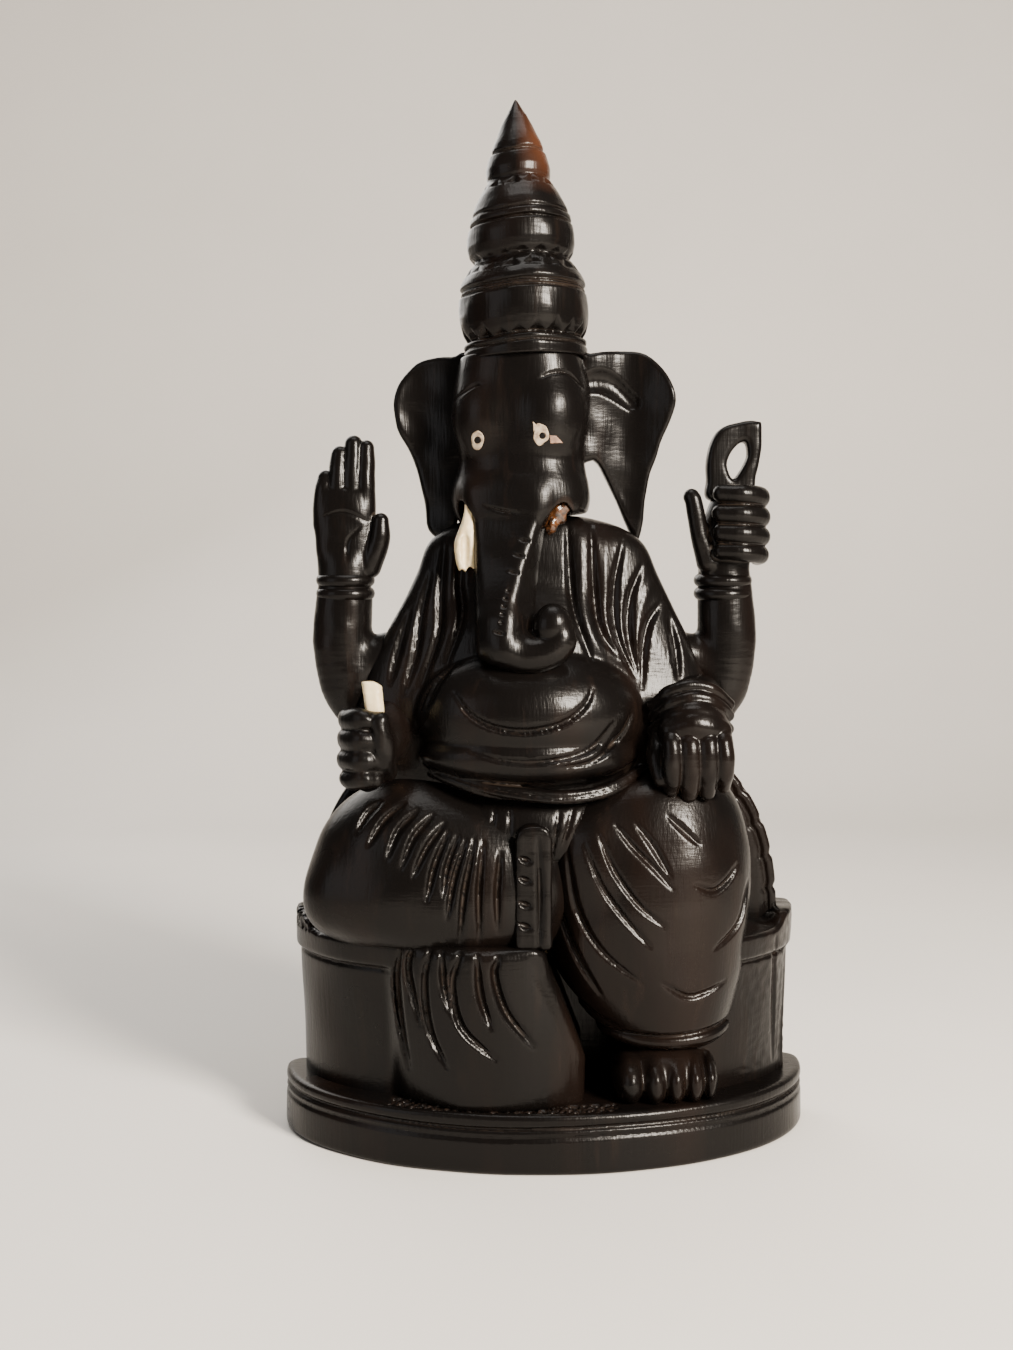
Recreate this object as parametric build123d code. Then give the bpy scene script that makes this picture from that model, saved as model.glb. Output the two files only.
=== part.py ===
"""Seated four-armed elephant-headed idol in dark hardwood, 250 mm tall, built up from carved members.

The members are glued on hidden round dowels; eyes and tusks are bone, let into sockets. Row frame: +Z up, the figure
faces -Y, +X is on the viewer's right, and the origin is the middle of the plinth's underside. "Right" and "left" in
the names are the figure's own. Millimetres throughout.
"""

from build123d import *
from math import cos, radians, sin, sqrt
import os

# ---- plinth and seat -------------------------------------------------------------------------------------------
plinth_half_width = 65.5
plinth_front_reach = 43.0  # from the widest line forwards
plinth_back_reach = 5.0  # from the widest line to the flat back
plinth_thickness = 14.0
plinth_edge_round = 1.2
seat_half_width = 61.5
seat_front_reach = 35.5
seat_back_reach = 3.5
seat_height = 37.0
seat_rim_height = 6.0
seat_rim_overhang = 3.5  # in front
seat_rim_lip = 1.0  # at the ends
seat_corner_rise = 3.5  # the raised corners at both ends, in front of the back slab
seat_corner_width = 14.0
niche_left = 7.0  # the hanging leg's recess in the seat runs from here to the seat's right end
niche_front = 7.0  # the recessed seat front's place along Y

# ---- lap, hanging leg, back slab ---------------------------------------------------------------------------------
lap_x = -29.0
lap_y = 2.0
lap_half_width = 30.0
lap_half_depth = 19.5
lap_rise = 37.0  # above the seat top
leg_x = 24.0
leg_y = -0.5
leg_half_width = 23.0
leg_half_depth = 20.0
leg_rise = 40.0
leg_split = 0.0  # the lap and the hanging leg meet on this plane
hem_drop = 22.0  # hem below the seat top
foot_half_width = 12.0
foot_gap = 0.3  # between the foot's top and the hem
drape_x = -14.0  # the robe's end, carved in relief on the seat's front
drape_half_width = 22.0
drape_relief = 3.2
sash_half_width = 4.4
sash_height = 27.0
back_slab_half_width = 58.5
back_slab_rise = 53.0
back_slab_thickness = 9.0
back_slab_back = 21.0  # its back face along Y

# ---- torso, head and crown ---------------------------------------------------------------------------------------
torso_x = -4.0
shawl_half_width = 42.0
shoulder_half_width = 20.0
torso_half_depth = 13.0
torso_height = 101.0  # from the seat top to the neck
belly_half_width = 28.0
belly_half_depth = 21.0
belly_half_height = 20.0
belly_height = 51.5  # belly centre above the seat top
head_x = -6.6
head_y = 3.0
head_half_width = 16.6
head_half_depth = 13.5
head_turn = -12.0  # degrees about +Z, the face looks to the viewer's left
head_height = 38.5
trunk_root_radius = 8.6
crown_lean = -2.3  # degrees about +Y
crown_base_radius = 14.8
crown_height = 61.0
ear_reach = 26.0  # from the side of the head outwards
ear_height = 44.0
ear_thickness = 4.5
ear_y = 7.0

# ---- arms --------------------------------------------------------------------------------------------------------
raised_arm_offset = 44.5  # from the torso's middle to the forearm's axis
forearm_half_width = 7.6
forearm_half_depth = 6.4
elbow_height = 52.0  # above the seat top
wrist_height = 86.0
palm_length = 34.0
fist_length = 20.0
raised_arm_y = 7.0
lower_arm_offset = 37.5
lower_hand_half_width = 8.4
lower_hand_half_height = 10.5
lower_hand_height = 45.0
lower_hand_front = -18.5
hand_rest_drop = 8.5  # the holding hand rests on the lap this far below its own middle
loop_height = 17.4
loop_half_width = 6.7
loop_thickness = 5.0
loop_hole_half_width = 2.9
loop_hole_half_height = 4.3

# ---- dowels, bone inlays -----------------------------------------------------------------------------------------
body_dowel_radius = 4.0
body_dowel_length = 20.0
crown_dowel_radius = 3.0
crown_dowel_length = 18.0
arm_dowel_radius = 2.0
arm_dowel_length = 12.0
pin_radius = 1.0
pin_length = 8.0
glue_gap = 0.08  # all round a dowel or an inlay in its hole
end_gap = 0.5  # left at each end of a dowel hole
tusk_radius = 2.5
tusk_length = 20.0
tusk_seat = 8.0  # the share of the tusk inside the cheek
held_tusk_radius = 2.2
held_tusk_length = 16.0
held_tusk_show = 6.5
eye_half_width = 1.6
eye_half_height = 2.3
pupil_radius = 0.75
eye_depth = 2.4
eye_proud = 0.2
eye_spacing = 7.4  # from the face's middle line to each eye
eye_drop = 19.5  # below the head's top
corner_inlay_length = 3.0

# ---- worked out --------------------------------------------------------------------------------------------------
widest_y = (plinth_front_reach - plinth_back_reach) / 2
seat_top = plinth_thickness + seat_height
seat_front_y = widest_y - seat_front_reach
back_slab_front = back_slab_back - back_slab_thickness
neck_z = seat_top + torso_height
head_top = neck_z + head_height - 2.5
belly_z = seat_top + belly_height
lower_hand_z = seat_top + lower_hand_height
hand_rest_z = lower_hand_z - hand_rest_drop
hem_z = seat_top - hem_drop
wrist_z = seat_top + wrist_height
elbow_z = seat_top + elbow_height
BIG = 400.0


def stack(sections, turn=0.0):
    """A loft through level ellipses, each (x, y, z, half width, half depth)."""
    return loft([Pos(x, y, z) * Rot(0, 0, turn) * Ellipse(a, b) for x, y, z, a, b in sections])


def stack_forward(sections):
    """A loft through upright ellipses that face -Y, each (x, y, z, half width, half height)."""
    return loft([Pos(x, y, z) * Rot(90, 0, 0) * Ellipse(a, b) for x, y, z, a, b in sections])


def ball(x, y, z, a, b, c):
    """An ellipsoid with these three half axes."""
    return Pos(x, y, z) * scale(Sphere(1), by=(a, b, c))


def block(x0, x1, y0, y1, z0, z1):
    """A box between two corners."""
    return Pos((x0 + x1) / 2, (y0 + y1) / 2, (z0 + z1) / 2) * Box(x1 - x0, y1 - y0, z1 - z0)


def above(z):
    return block(-BIG, BIG, -BIG, BIG, z, BIG)


def below(z):
    return block(-BIG, BIG, -BIG, BIG, -BIG, z)


def rod(start, direction, radius, length):
    """A cylinder from a point along a direction."""
    return extrude(Plane(origin=start, z_dir=direction) * Circle(radius), length)


def d_plan(half_width, front_reach, back_reach):
    """Plan outline: a half ellipse forward of the widest line, square with round corners behind it."""
    oval = Pos(0, widest_y) * Ellipse(half_width, front_reach)
    front = oval & (Pos(0, widest_y - BIG / 2) * Rectangle(BIG, BIG))
    back = Pos(0, widest_y + back_reach / 2) * Rectangle(2 * half_width, back_reach)
    return front + back


def round_back_corners(solid, radius):
    corners = [e for e in solid.edges().filter_by(Axis.Z) if e.center().Y > widest_y + 0.1]
    return fillet(corners, radius)


def dowel_between(member_a, member_b, centre, direction, radius, length):
    """Bores both members for one dowel and returns them with the dowel, which stands clear by the glue gap."""
    d = Vector(*direction).normalized()
    c = Vector(*centre)
    hole = rod(c - d * (length / 2 + end_gap), d, radius + glue_gap, length + 2 * end_gap)
    dowel = rod(c - d * (length / 2), d, radius, length)
    return member_a - hole, member_b - hole, dowel


# ---- members -----------------------------------------------------------------------------------------------------
def make_plinth():
    plinth = extrude(d_plan(plinth_half_width, plinth_front_reach, plinth_back_reach), plinth_thickness)
    plinth = round_back_corners(plinth, 0.9 * plinth_back_reach)
    return fillet(plinth.faces().sort_by(Axis.Z)[-1].edges(), plinth_edge_round)


def make_seat():
    """Half-oval block with a rim, raised end corners, the robe's end in relief, and a niche for the hanging leg."""
    body = extrude(d_plan(seat_half_width, seat_front_reach, seat_back_reach), seat_height + seat_corner_rise)
    inside = seat_half_width - seat_corner_width
    body = body - block(-inside, inside, -BIG, BIG, seat_height, BIG)
    body = body - block(-BIG, BIG, back_slab_front, BIG, seat_height, BIG)
    rim_plan = d_plan(seat_half_width + seat_rim_lip, seat_front_reach + seat_rim_overhang, seat_back_reach)
    rim = Pos(0, 0, seat_height - seat_rim_height) * extrude(rim_plan, seat_rim_height)
    seat = Pos(0, 0, plinth_thickness) * (body + rim)
    relief = stack([
        (drape_x, seat_front_y + 8, plinth_thickness, drape_half_width - 2, 8 + drape_relief),
        (drape_x, seat_front_y + 8, plinth_thickness + 0.5 * seat_height, drape_half_width, 8.6 + drape_relief),
        (drape_x, seat_front_y + 8, seat_top - 1, drape_half_width, 8 + drape_relief),
    ])
    niche = block(niche_left, BIG, -BIG, niche_front, plinth_thickness - 1, seat_top + BIG)
    return seat + relief - niche


def make_back_slab():
    """Upright slab behind the lap, with a half-oval top that shows on both sides."""
    outline = Pos(0, seat_top) * Ellipse(back_slab_half_width, back_slab_rise)
    upper = outline & (Pos(0, seat_top + BIG / 2) * Rectangle(BIG, BIG))
    return Pos(0, back_slab_back, 0) * extrude(Rot(90, 0, 0) * upper, back_slab_thickness)


def make_torso():
    """Shawled upper body, wide at the elbows and narrow at the neck, with the round belly in front."""
    x, d = torso_x, torso_half_depth
    rise = torso_height
    sides = stack([
        (x, 3, seat_top, 0.72 * shawl_half_width, d),
        (x, 3, seat_top + 0.30 * rise, 0.86 * shawl_half_width, d),
        (x, 3, seat_top + 0.55 * rise, shawl_half_width, d),
        (x, 5, seat_top + 0.78 * rise, 0.5 * (shawl_half_width + shoulder_half_width), 0.8 * d),
        (x, 6, seat_top + 0.92 * rise, shoulder_half_width, 0.62 * d),
        (x, 6, neck_z, 0.6 * shoulder_half_width, 0.58 * d),
    ])
    belly = ball(x - 0.5, 0, belly_z, belly_half_width, belly_half_depth, belly_half_height)
    return sides + belly


def make_lap():
    """Folded right leg under its robe: a rounded mass on the seat, wide at the knee."""
    mass = ball(lap_x, lap_y, seat_top + 0.38 * lap_rise, lap_half_width, lap_half_depth, 0.66 * lap_rise)
    middle = ball(-8, lap_y, seat_top + 0.25 * lap_rise, 22, 0.94 * lap_half_depth, 0.5 * lap_rise)
    cuts = below(seat_top) + block(leg_split, BIG, -BIG, BIG, -BIG, BIG)
    return (mass + middle) - cuts - block(-BIG, BIG, back_slab_front, BIG, -BIG, BIG)


def make_left_leg():
    """Hanging left leg: a big round knee that narrows down to the robe's hem in front of the seat."""
    knee = ball(leg_x, leg_y, seat_top + 0.42 * leg_rise, leg_half_width + 1, leg_half_depth, 0.6 * leg_rise)
    shin = stack([
        (leg_x + 2.5, leg_y - 3, hem_z, 0.68 * leg_half_width, 0.66 * leg_half_depth),
        (leg_x + 2.0, leg_y - 2, hem_z + 0.5 * hem_drop, 0.84 * leg_half_width, 0.84 * leg_half_depth),
        (leg_x, leg_y, seat_top + 0.3 * leg_rise, leg_half_width, 0.95 * leg_half_depth),
    ])
    behind = block(-BIG, BIG, niche_front, BIG, -BIG, seat_top) + block(-BIG, BIG, back_slab_front, BIG, -BIG, BIG)
    seat_side = block(-BIG, niche_left, -BIG, BIG, -BIG, seat_top)
    return (knee + shin) - behind - seat_side - block(-BIG, leg_split, -BIG, BIG, -BIG, BIG)


def make_left_foot():
    """Bare foot on the plinth under the hem, four toe grooves in front."""
    x = leg_x + 2.5
    top = hem_z - foot_gap
    height = top - plinth_thickness
    middle_z = plinth_thickness + 0.3 * height
    foot = stack_forward([
        (x, niche_front, middle_z, 0.75 * foot_half_width, height),
        (x, -8, middle_z, foot_half_width, height),
        (x, -16, middle_z, foot_half_width, 0.8 * height),
        (x, -20, middle_z, 0.9 * foot_half_width, 0.5 * height),
    ])
    foot = foot - below(plinth_thickness) - above(top)
    for i in range(4):
        groove_x = x - foot_half_width + (i + 1.3) * foot_half_width * 0.4
        foot = foot - block(groove_x - 0.35, groove_x + 0.35, -BIG, -16.5, -BIG, BIG)
    return foot


def make_sash():
    """Pleated strip of the robe that hangs over the middle of the lap."""
    x = torso_x - 0.8
    front = lap_y - lap_half_depth
    return stack([
        (x, front + 0.5, seat_top, sash_half_width, 2.4),
        (x, front + 0.3, seat_top + 0.5 * sash_height, 0.95 * sash_half_width, 2.4),
        (x, front + 2.5, seat_top + sash_height, 0.8 * sash_half_width, 2.2),
    ])


def head_point(side, forward, z):
    """A point given in the turned head's own directions, as row coordinates."""
    a = radians(head_turn)
    return (head_x + side * cos(a) + forward * sin(a), head_y + side * sin(a) - forward * cos(a), z)


def head_section(share):
    """Half width and half depth of the head at a share of its height."""
    stops = [(0.0, 0.80, 0.74), (0.12, 0.98, 0.90), (0.4, 0.91, 0.93), (0.68, 1.0, 1.0), (1.0, 0.885, 0.96)]
    for (s0, w0, d0), (s1, w1, d1) in zip(stops, stops[1:]):
        if share <= s1:
            t = (share - s0) / (s1 - s0)
            return (w0 + t * (w1 - w0)) * head_half_width, (d0 + t * (d1 - d0)) * head_half_depth
    return head_half_width, head_half_depth


def make_head():
    """Elephant head with a brow, a waist at the eyes, full cheeks, and the trunk curling to the viewer's right."""
    levels = [0.0, 0.12, 0.4, 0.68, 1.0, 1.08]
    sections = []
    for s in levels:
        a, b = head_section(min(s, 1.0))
        sections.append((head_x, head_y, neck_z + 0.5 + s * head_height, a, b))
    skull = stack(sections, head_turn)
    r = trunk_root_radius
    z = neck_z
    reach = head_half_depth
    route = [
        (head_x - 1.6, head_y - 0.62 * reach, z + 8, r),
        (head_x - 2.6, head_y - 0.95 * reach, z - 2, 0.98 * r),
        (head_x - 4.2, head_y - 1.25 * reach, z - 12, 0.76 * r),
        (head_x - 5.8, head_y - 1.50 * reach, z - 25, 0.56 * r),
        (head_x - 5.6, head_y - 1.58 * reach, z - 33, 0.50 * r),
        (head_x - 1.6, head_y - 1.58 * reach, z - 37.2, 0.46 * r),
        (head_x + 3.6, head_y - 1.54 * reach, z - 36.6, 0.42 * r),
        (head_x + 7.4, head_y - 1.50 * reach, z - 31.5, 0.38 * r),
    ]
    profiles = []
    for i, (px, py, pz, pr) in enumerate(route):
        before = Vector(*route[max(i - 1, 0)][:3])
        after = Vector(*route[min(i + 1, len(route) - 1)][:3])
        profiles.append(Plane(origin=(px, py, pz), z_dir=after - before) * Circle(pr))
    trunk = loft(profiles)
    tip = route[-1]
    curl = Pos(tip[0] - 2.2, tip[1], tip[2] + 2.0) * Sphere(0.52 * r)
    return skull + trunk + curl


def crown_profile():
    """Half section of the turned crown, (radius, height) from its base to its tip, in shares of its two sizes."""
    measured_radius, measured_height = 14.8, 61.0
    outline = [
        (14.8, 0.0), (14.1, 3.3), (13.9, 4.4), (15.1, 9.9), (15.1, 13.2), (14.5, 15.3), (14.75, 17.4),
        (13.6, 20.4), (11.7, 22.8), (12.4, 27.0), (11.8, 31.5), (10.4, 36.0), (8.6, 40.2), (7.6, 41.9),
        (7.4, 44.6), (6.1, 48.2), (5.3, 50.6), (3.5, 55.0), (0.0, 61.0),
    ]
    kr, kh = crown_base_radius / measured_radius, crown_height / measured_height
    return [(r * kr, h * kh) for r, h in outline]


def crown_frame():
    return Pos(head_x + 0.9, head_y, head_top) * Rot(0, crown_lean, 0)


def make_crown():
    """Tall stepped crown, turned about its own leaning axis."""
    points = crown_profile()
    edge = Polyline(*[(r, 0, h) for r, h in points])
    closing = Polyline((points[-1][0], 0, points[-1][1]), (0, 0, 0), (points[0][0], 0, points[0][1]))
    face = make_face([*edge.edges(), *closing.edges()])
    return crown_frame() * revolve(face, Axis.Z)


def make_ear(side):
    """Fan-shaped ear, a thin plate that rises beside the brow and narrows down to the shoulder."""
    inner = head_x + side * 0.60 * head_half_width
    top = neck_z + head_height
    outline = [
        (0.0, 0.0), (0.45 * ear_reach, 2.0), (0.92 * ear_reach, -4.0), (ear_reach, -14.0),
        (0.80 * ear_reach, -28.0), (0.66 * ear_reach, -ear_height),
        (0.50 * ear_reach, -ear_height), (0.24 * ear_reach, -26.0), (0.0, -20.0),
    ]
    points = [(inner + side * u, top + v) for u, v in outline]
    face = make_face(Spline(*points, periodic=True))
    plate = extrude(Rot(90, 0, 0) * face, ear_thickness)
    return Pos(0, ear_y + ear_thickness / 2, 0) * plate


def make_forearm(x, y, thumb_side):
    """Raised forearm from the elbow to the wrist, with a two-ring bracelet below the wrist."""
    a, b = forearm_half_width, forearm_half_depth
    arm = stack([
        (x, y, elbow_z - 1, 0.55 * a, 0.6 * b),
        (x, y, elbow_z + 5, 0.95 * a, 0.95 * b),
        (x - 0.5 * thumb_side, y, elbow_z + 17, a, b),
        (x, y, wrist_z - 6, 0.93 * a, 0.92 * b),
        (x, y, wrist_z + 1, 0.86 * a, 0.84 * b),
    ])
    elbow_link = ball(x + 5.5 * thumb_side, y, elbow_z + 12, 8.5, 0.85 * b, 11)
    bracelet = Pos(0, 0, wrist_z - 6.4) * extrude(Pos(x, y) * Ellipse(1.07 * a, 1.1 * b), 6.0)
    return arm + elbow_link + bracelet


def make_open_hand_arm():
    """Raised right arm, its palm open and forward, the fingers together and the thumb standing off."""
    x, y = torso_x - raised_arm_offset + 1.0, raised_arm_y
    arm = make_forearm(x, y, 1)
    z = wrist_z
    hand = stack([
        (x, y, z, 6.2, 4.8),
        (x - 0.4, y, z + 0.22 * palm_length, 8.0, 4.4),
        (x - 0.6, y, z + 0.55 * palm_length, 7.6, 3.8),
        (x + 0.2, y, z + 0.80 * palm_length, 6.2, 3.4),
        (x + 1.0, y, z + palm_length, 3.2, 2.6),
    ])
    thumb = stack([
        (x + 5.4, y - 1.0, z + 2.0, 2.4, 2.8),
        (x + 7.2, y - 1.4, z + 9.0, 2.4, 2.6),
        (x + 8.0, y - 1.4, z + 15.0, 1.9, 2.2),
    ])
    return arm + hand + thumb


def make_fist_arm():
    """Raised left arm, its fist closed round the noose's stem, the thumb upright."""
    x, y = torso_x + raised_arm_offset + 3.0, raised_arm_y
    arm = make_forearm(x, y, -1)
    z = wrist_z
    palm = stack([
        (x, y, z, 6.2, 5.0),
        (x + 0.6, y - 0.6, z + 0.30 * fist_length, 7.4, 6.4),
        (x + 1.6, y - 1.0, z + 0.75 * fist_length, 7.2, 6.6),
        (x + 1.6, y - 1.0, z + fist_length, 5.4, 5.0),
    ])
    thumb = stack([
        (x - 5.2, y - 2.0, z + 2.0, 2.6, 3.0),
        (x - 7.6, y - 2.4, z + 10.0, 2.3, 2.6),
        (x - 8.6, y - 2.4, z + 18.0, 1.8, 2.2),
    ])
    return arm + palm + thumb


def loop_foot():
    """Where the noose stands on the fist."""
    return (torso_x + raised_arm_offset + 4.2, raised_arm_y - 1.0, wrist_z + fist_length)


def make_noose():
    """Closed loop of the noose, leaf shaped with a point at its upper outer corner, on a short stem."""
    x, y, z = loop_foot()
    w, h = loop_half_width, loop_height
    leaf = Spline(
        (x - 0.50 * w, z), (x - 0.95 * w, z + 0.40 * h), (x - 0.55 * w, z + 0.82 * h), (x + w, z + h),
        tangents=[(-0.4, 1.0), (1.0, 0.15)],
    )
    return_side = Spline((x + w, z + h), (x + 0.98 * w, z + 0.45 * h), (x + 0.6 * w, z),
                         tangents=[(0.05, -1.0), (-0.4, -1.0)])
    base = Line((x + 0.6 * w, z), (x - 0.50 * w, z))
    face = make_face([leaf, return_side, base])
    hole = Pos(x + 0.02 * w, z + 0.53 * h) * Rot(0, 0, -14) * Ellipse(loop_hole_half_width, loop_hole_half_height)
    plate = extrude(Rot(90, 0, 0) * (face - hole), loop_thickness)
    return Pos(0, y + loop_thickness / 2, 0) * plate


def make_lower_arm(side, lift):
    """Lower forearm that comes forward from under the shawl and ends in a closed fist."""
    x = torso_x + side * lower_arm_offset
    z = lower_hand_z
    a, b = lower_hand_half_width, lower_hand_half_height
    front = lower_hand_front
    return stack_forward([
        (x, 2, z + lift, a, b),
        (x, front + 15, z + 0.6 * lift, 1.05 * a, 1.02 * b),
        (x, front + 7, z, a, b),
        (x, front + 2, z, 0.85 * a, 0.85 * b),
        (x, front, z, 0.45 * a, 0.5 * b),
    ])


# ---- bone --------------------------------------------------------------------------------------------------------
def make_tusk():
    """Whole right tusk: a round peg let up into the cheek, and the blunt end that shows."""
    x, y, z = tusk_top()
    shape = stack([
        (x, y, z, 0.7 * tusk_radius, 0.7 * tusk_radius),
        (x, y, z - tusk_seat, 0.7 * tusk_radius, 0.7 * tusk_radius),
    ])
    shown = stack([
        (x, y, z - tusk_seat, tusk_radius, tusk_radius),
        (x - 0.3, y - 0.5, z - 0.7 * tusk_length, tusk_radius, 0.9 * tusk_radius),
        (x + 0.2, y - 0.8, z - tusk_length, 0.75 * tusk_radius, 0.7 * tusk_radius),
    ])
    return shape + shown


def tusk_top():
    x, y, _ = head_point(-0.62 * head_half_width, 0.55 * head_half_depth, 0)
    return (x, y, neck_z + 0.5 + tusk_seat)


def empty_socket():
    """The lost left tusk's hole in the other cheek: its mouth and its end."""
    x, y, _ = head_point(0.62 * head_half_width, 0.55 * head_half_depth, 0)
    return (x, y, neck_z + 0.5), (x, y, neck_z + 0.5 + tusk_seat)


def make_old_glue():
    """Hard glue left in the lost tusk's hole, a shallow plug near its mouth."""
    mouth, _ = empty_socket()
    return rod((mouth[0], mouth[1], mouth[2] + 1.5), (0, 0, 1), 0.7 * tusk_radius, 3.5)


def make_held_tusk():
    """Broken tusk that the lower right hand holds upright, chamfered at its top."""
    x = torso_x - lower_arm_offset + 0.5
    y = lower_hand_front + 8.0
    top = lower_hand_z + lower_hand_half_height + held_tusk_show
    peg = rod((x, y, top - held_tusk_length), (0, 0, 1), held_tusk_radius, held_tusk_length)
    return chamfer(peg.edges().sort_by(Axis.Z)[-1], 0.5 * held_tusk_radius)


def eye_frame(side):
    """Plane of one eye's face, square to the front of the head where the eye sits."""
    z = head_top - eye_drop
    share = (z - neck_z - 0.5) / head_height
    a, b = head_section(share)
    forward = b * sqrt(1 - (eye_spacing / a) ** 2)
    slope = eye_spacing * b / (a * a * sqrt(1 - (eye_spacing / a) ** 2))
    x, y, z = head_point(side * eye_spacing, forward + eye_proud, z)
    out = head_point(side * slope, 1.0, 0)
    origin = head_point(0, 0, 0)
    normal = (out[0] - origin[0], out[1] - origin[1], 0)
    return Plane(origin=(x, y, z), x_dir=(0, 0, 1), z_dir=normal)


def make_eye(side):
    """Bone eye ring and the dark pupil set in it, with the pocket that they need in the head."""
    frame = eye_frame(side)
    ring_face = Ellipse(eye_half_height, eye_half_width) - Circle(pupil_radius + glue_gap)
    ring = extrude(frame * ring_face, -eye_depth)
    pupil = extrude(frame * Circle(pupil_radius), -eye_depth)
    pocket_face = Ellipse(eye_half_height + glue_gap, eye_half_width + glue_gap)
    pocket = extrude(frame * pocket_face, -(eye_depth + end_gap)) + extrude(frame * pocket_face, 4)
    return ring, pupil, pocket


def make_corner_inlay():
    """Three-cornered bone inlay beside the left eye, with its pocket."""
    frame = eye_frame(1)
    start = eye_half_width + 3 * glue_gap

    def wedge(grow):
        tip = start + corner_inlay_length + grow
        corners = [(-0.9 - grow, start - grow), (0.9 + grow, start - grow), (-0.4, tip)]
        return make_face(Polyline(*corners, close=True))

    inlay = extrude(frame * wedge(0), -eye_depth)
    pocket = extrude(frame * wedge(glue_gap), -(eye_depth + end_gap)) + extrude(frame * wedge(glue_gap), 4)
    return inlay, pocket


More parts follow.
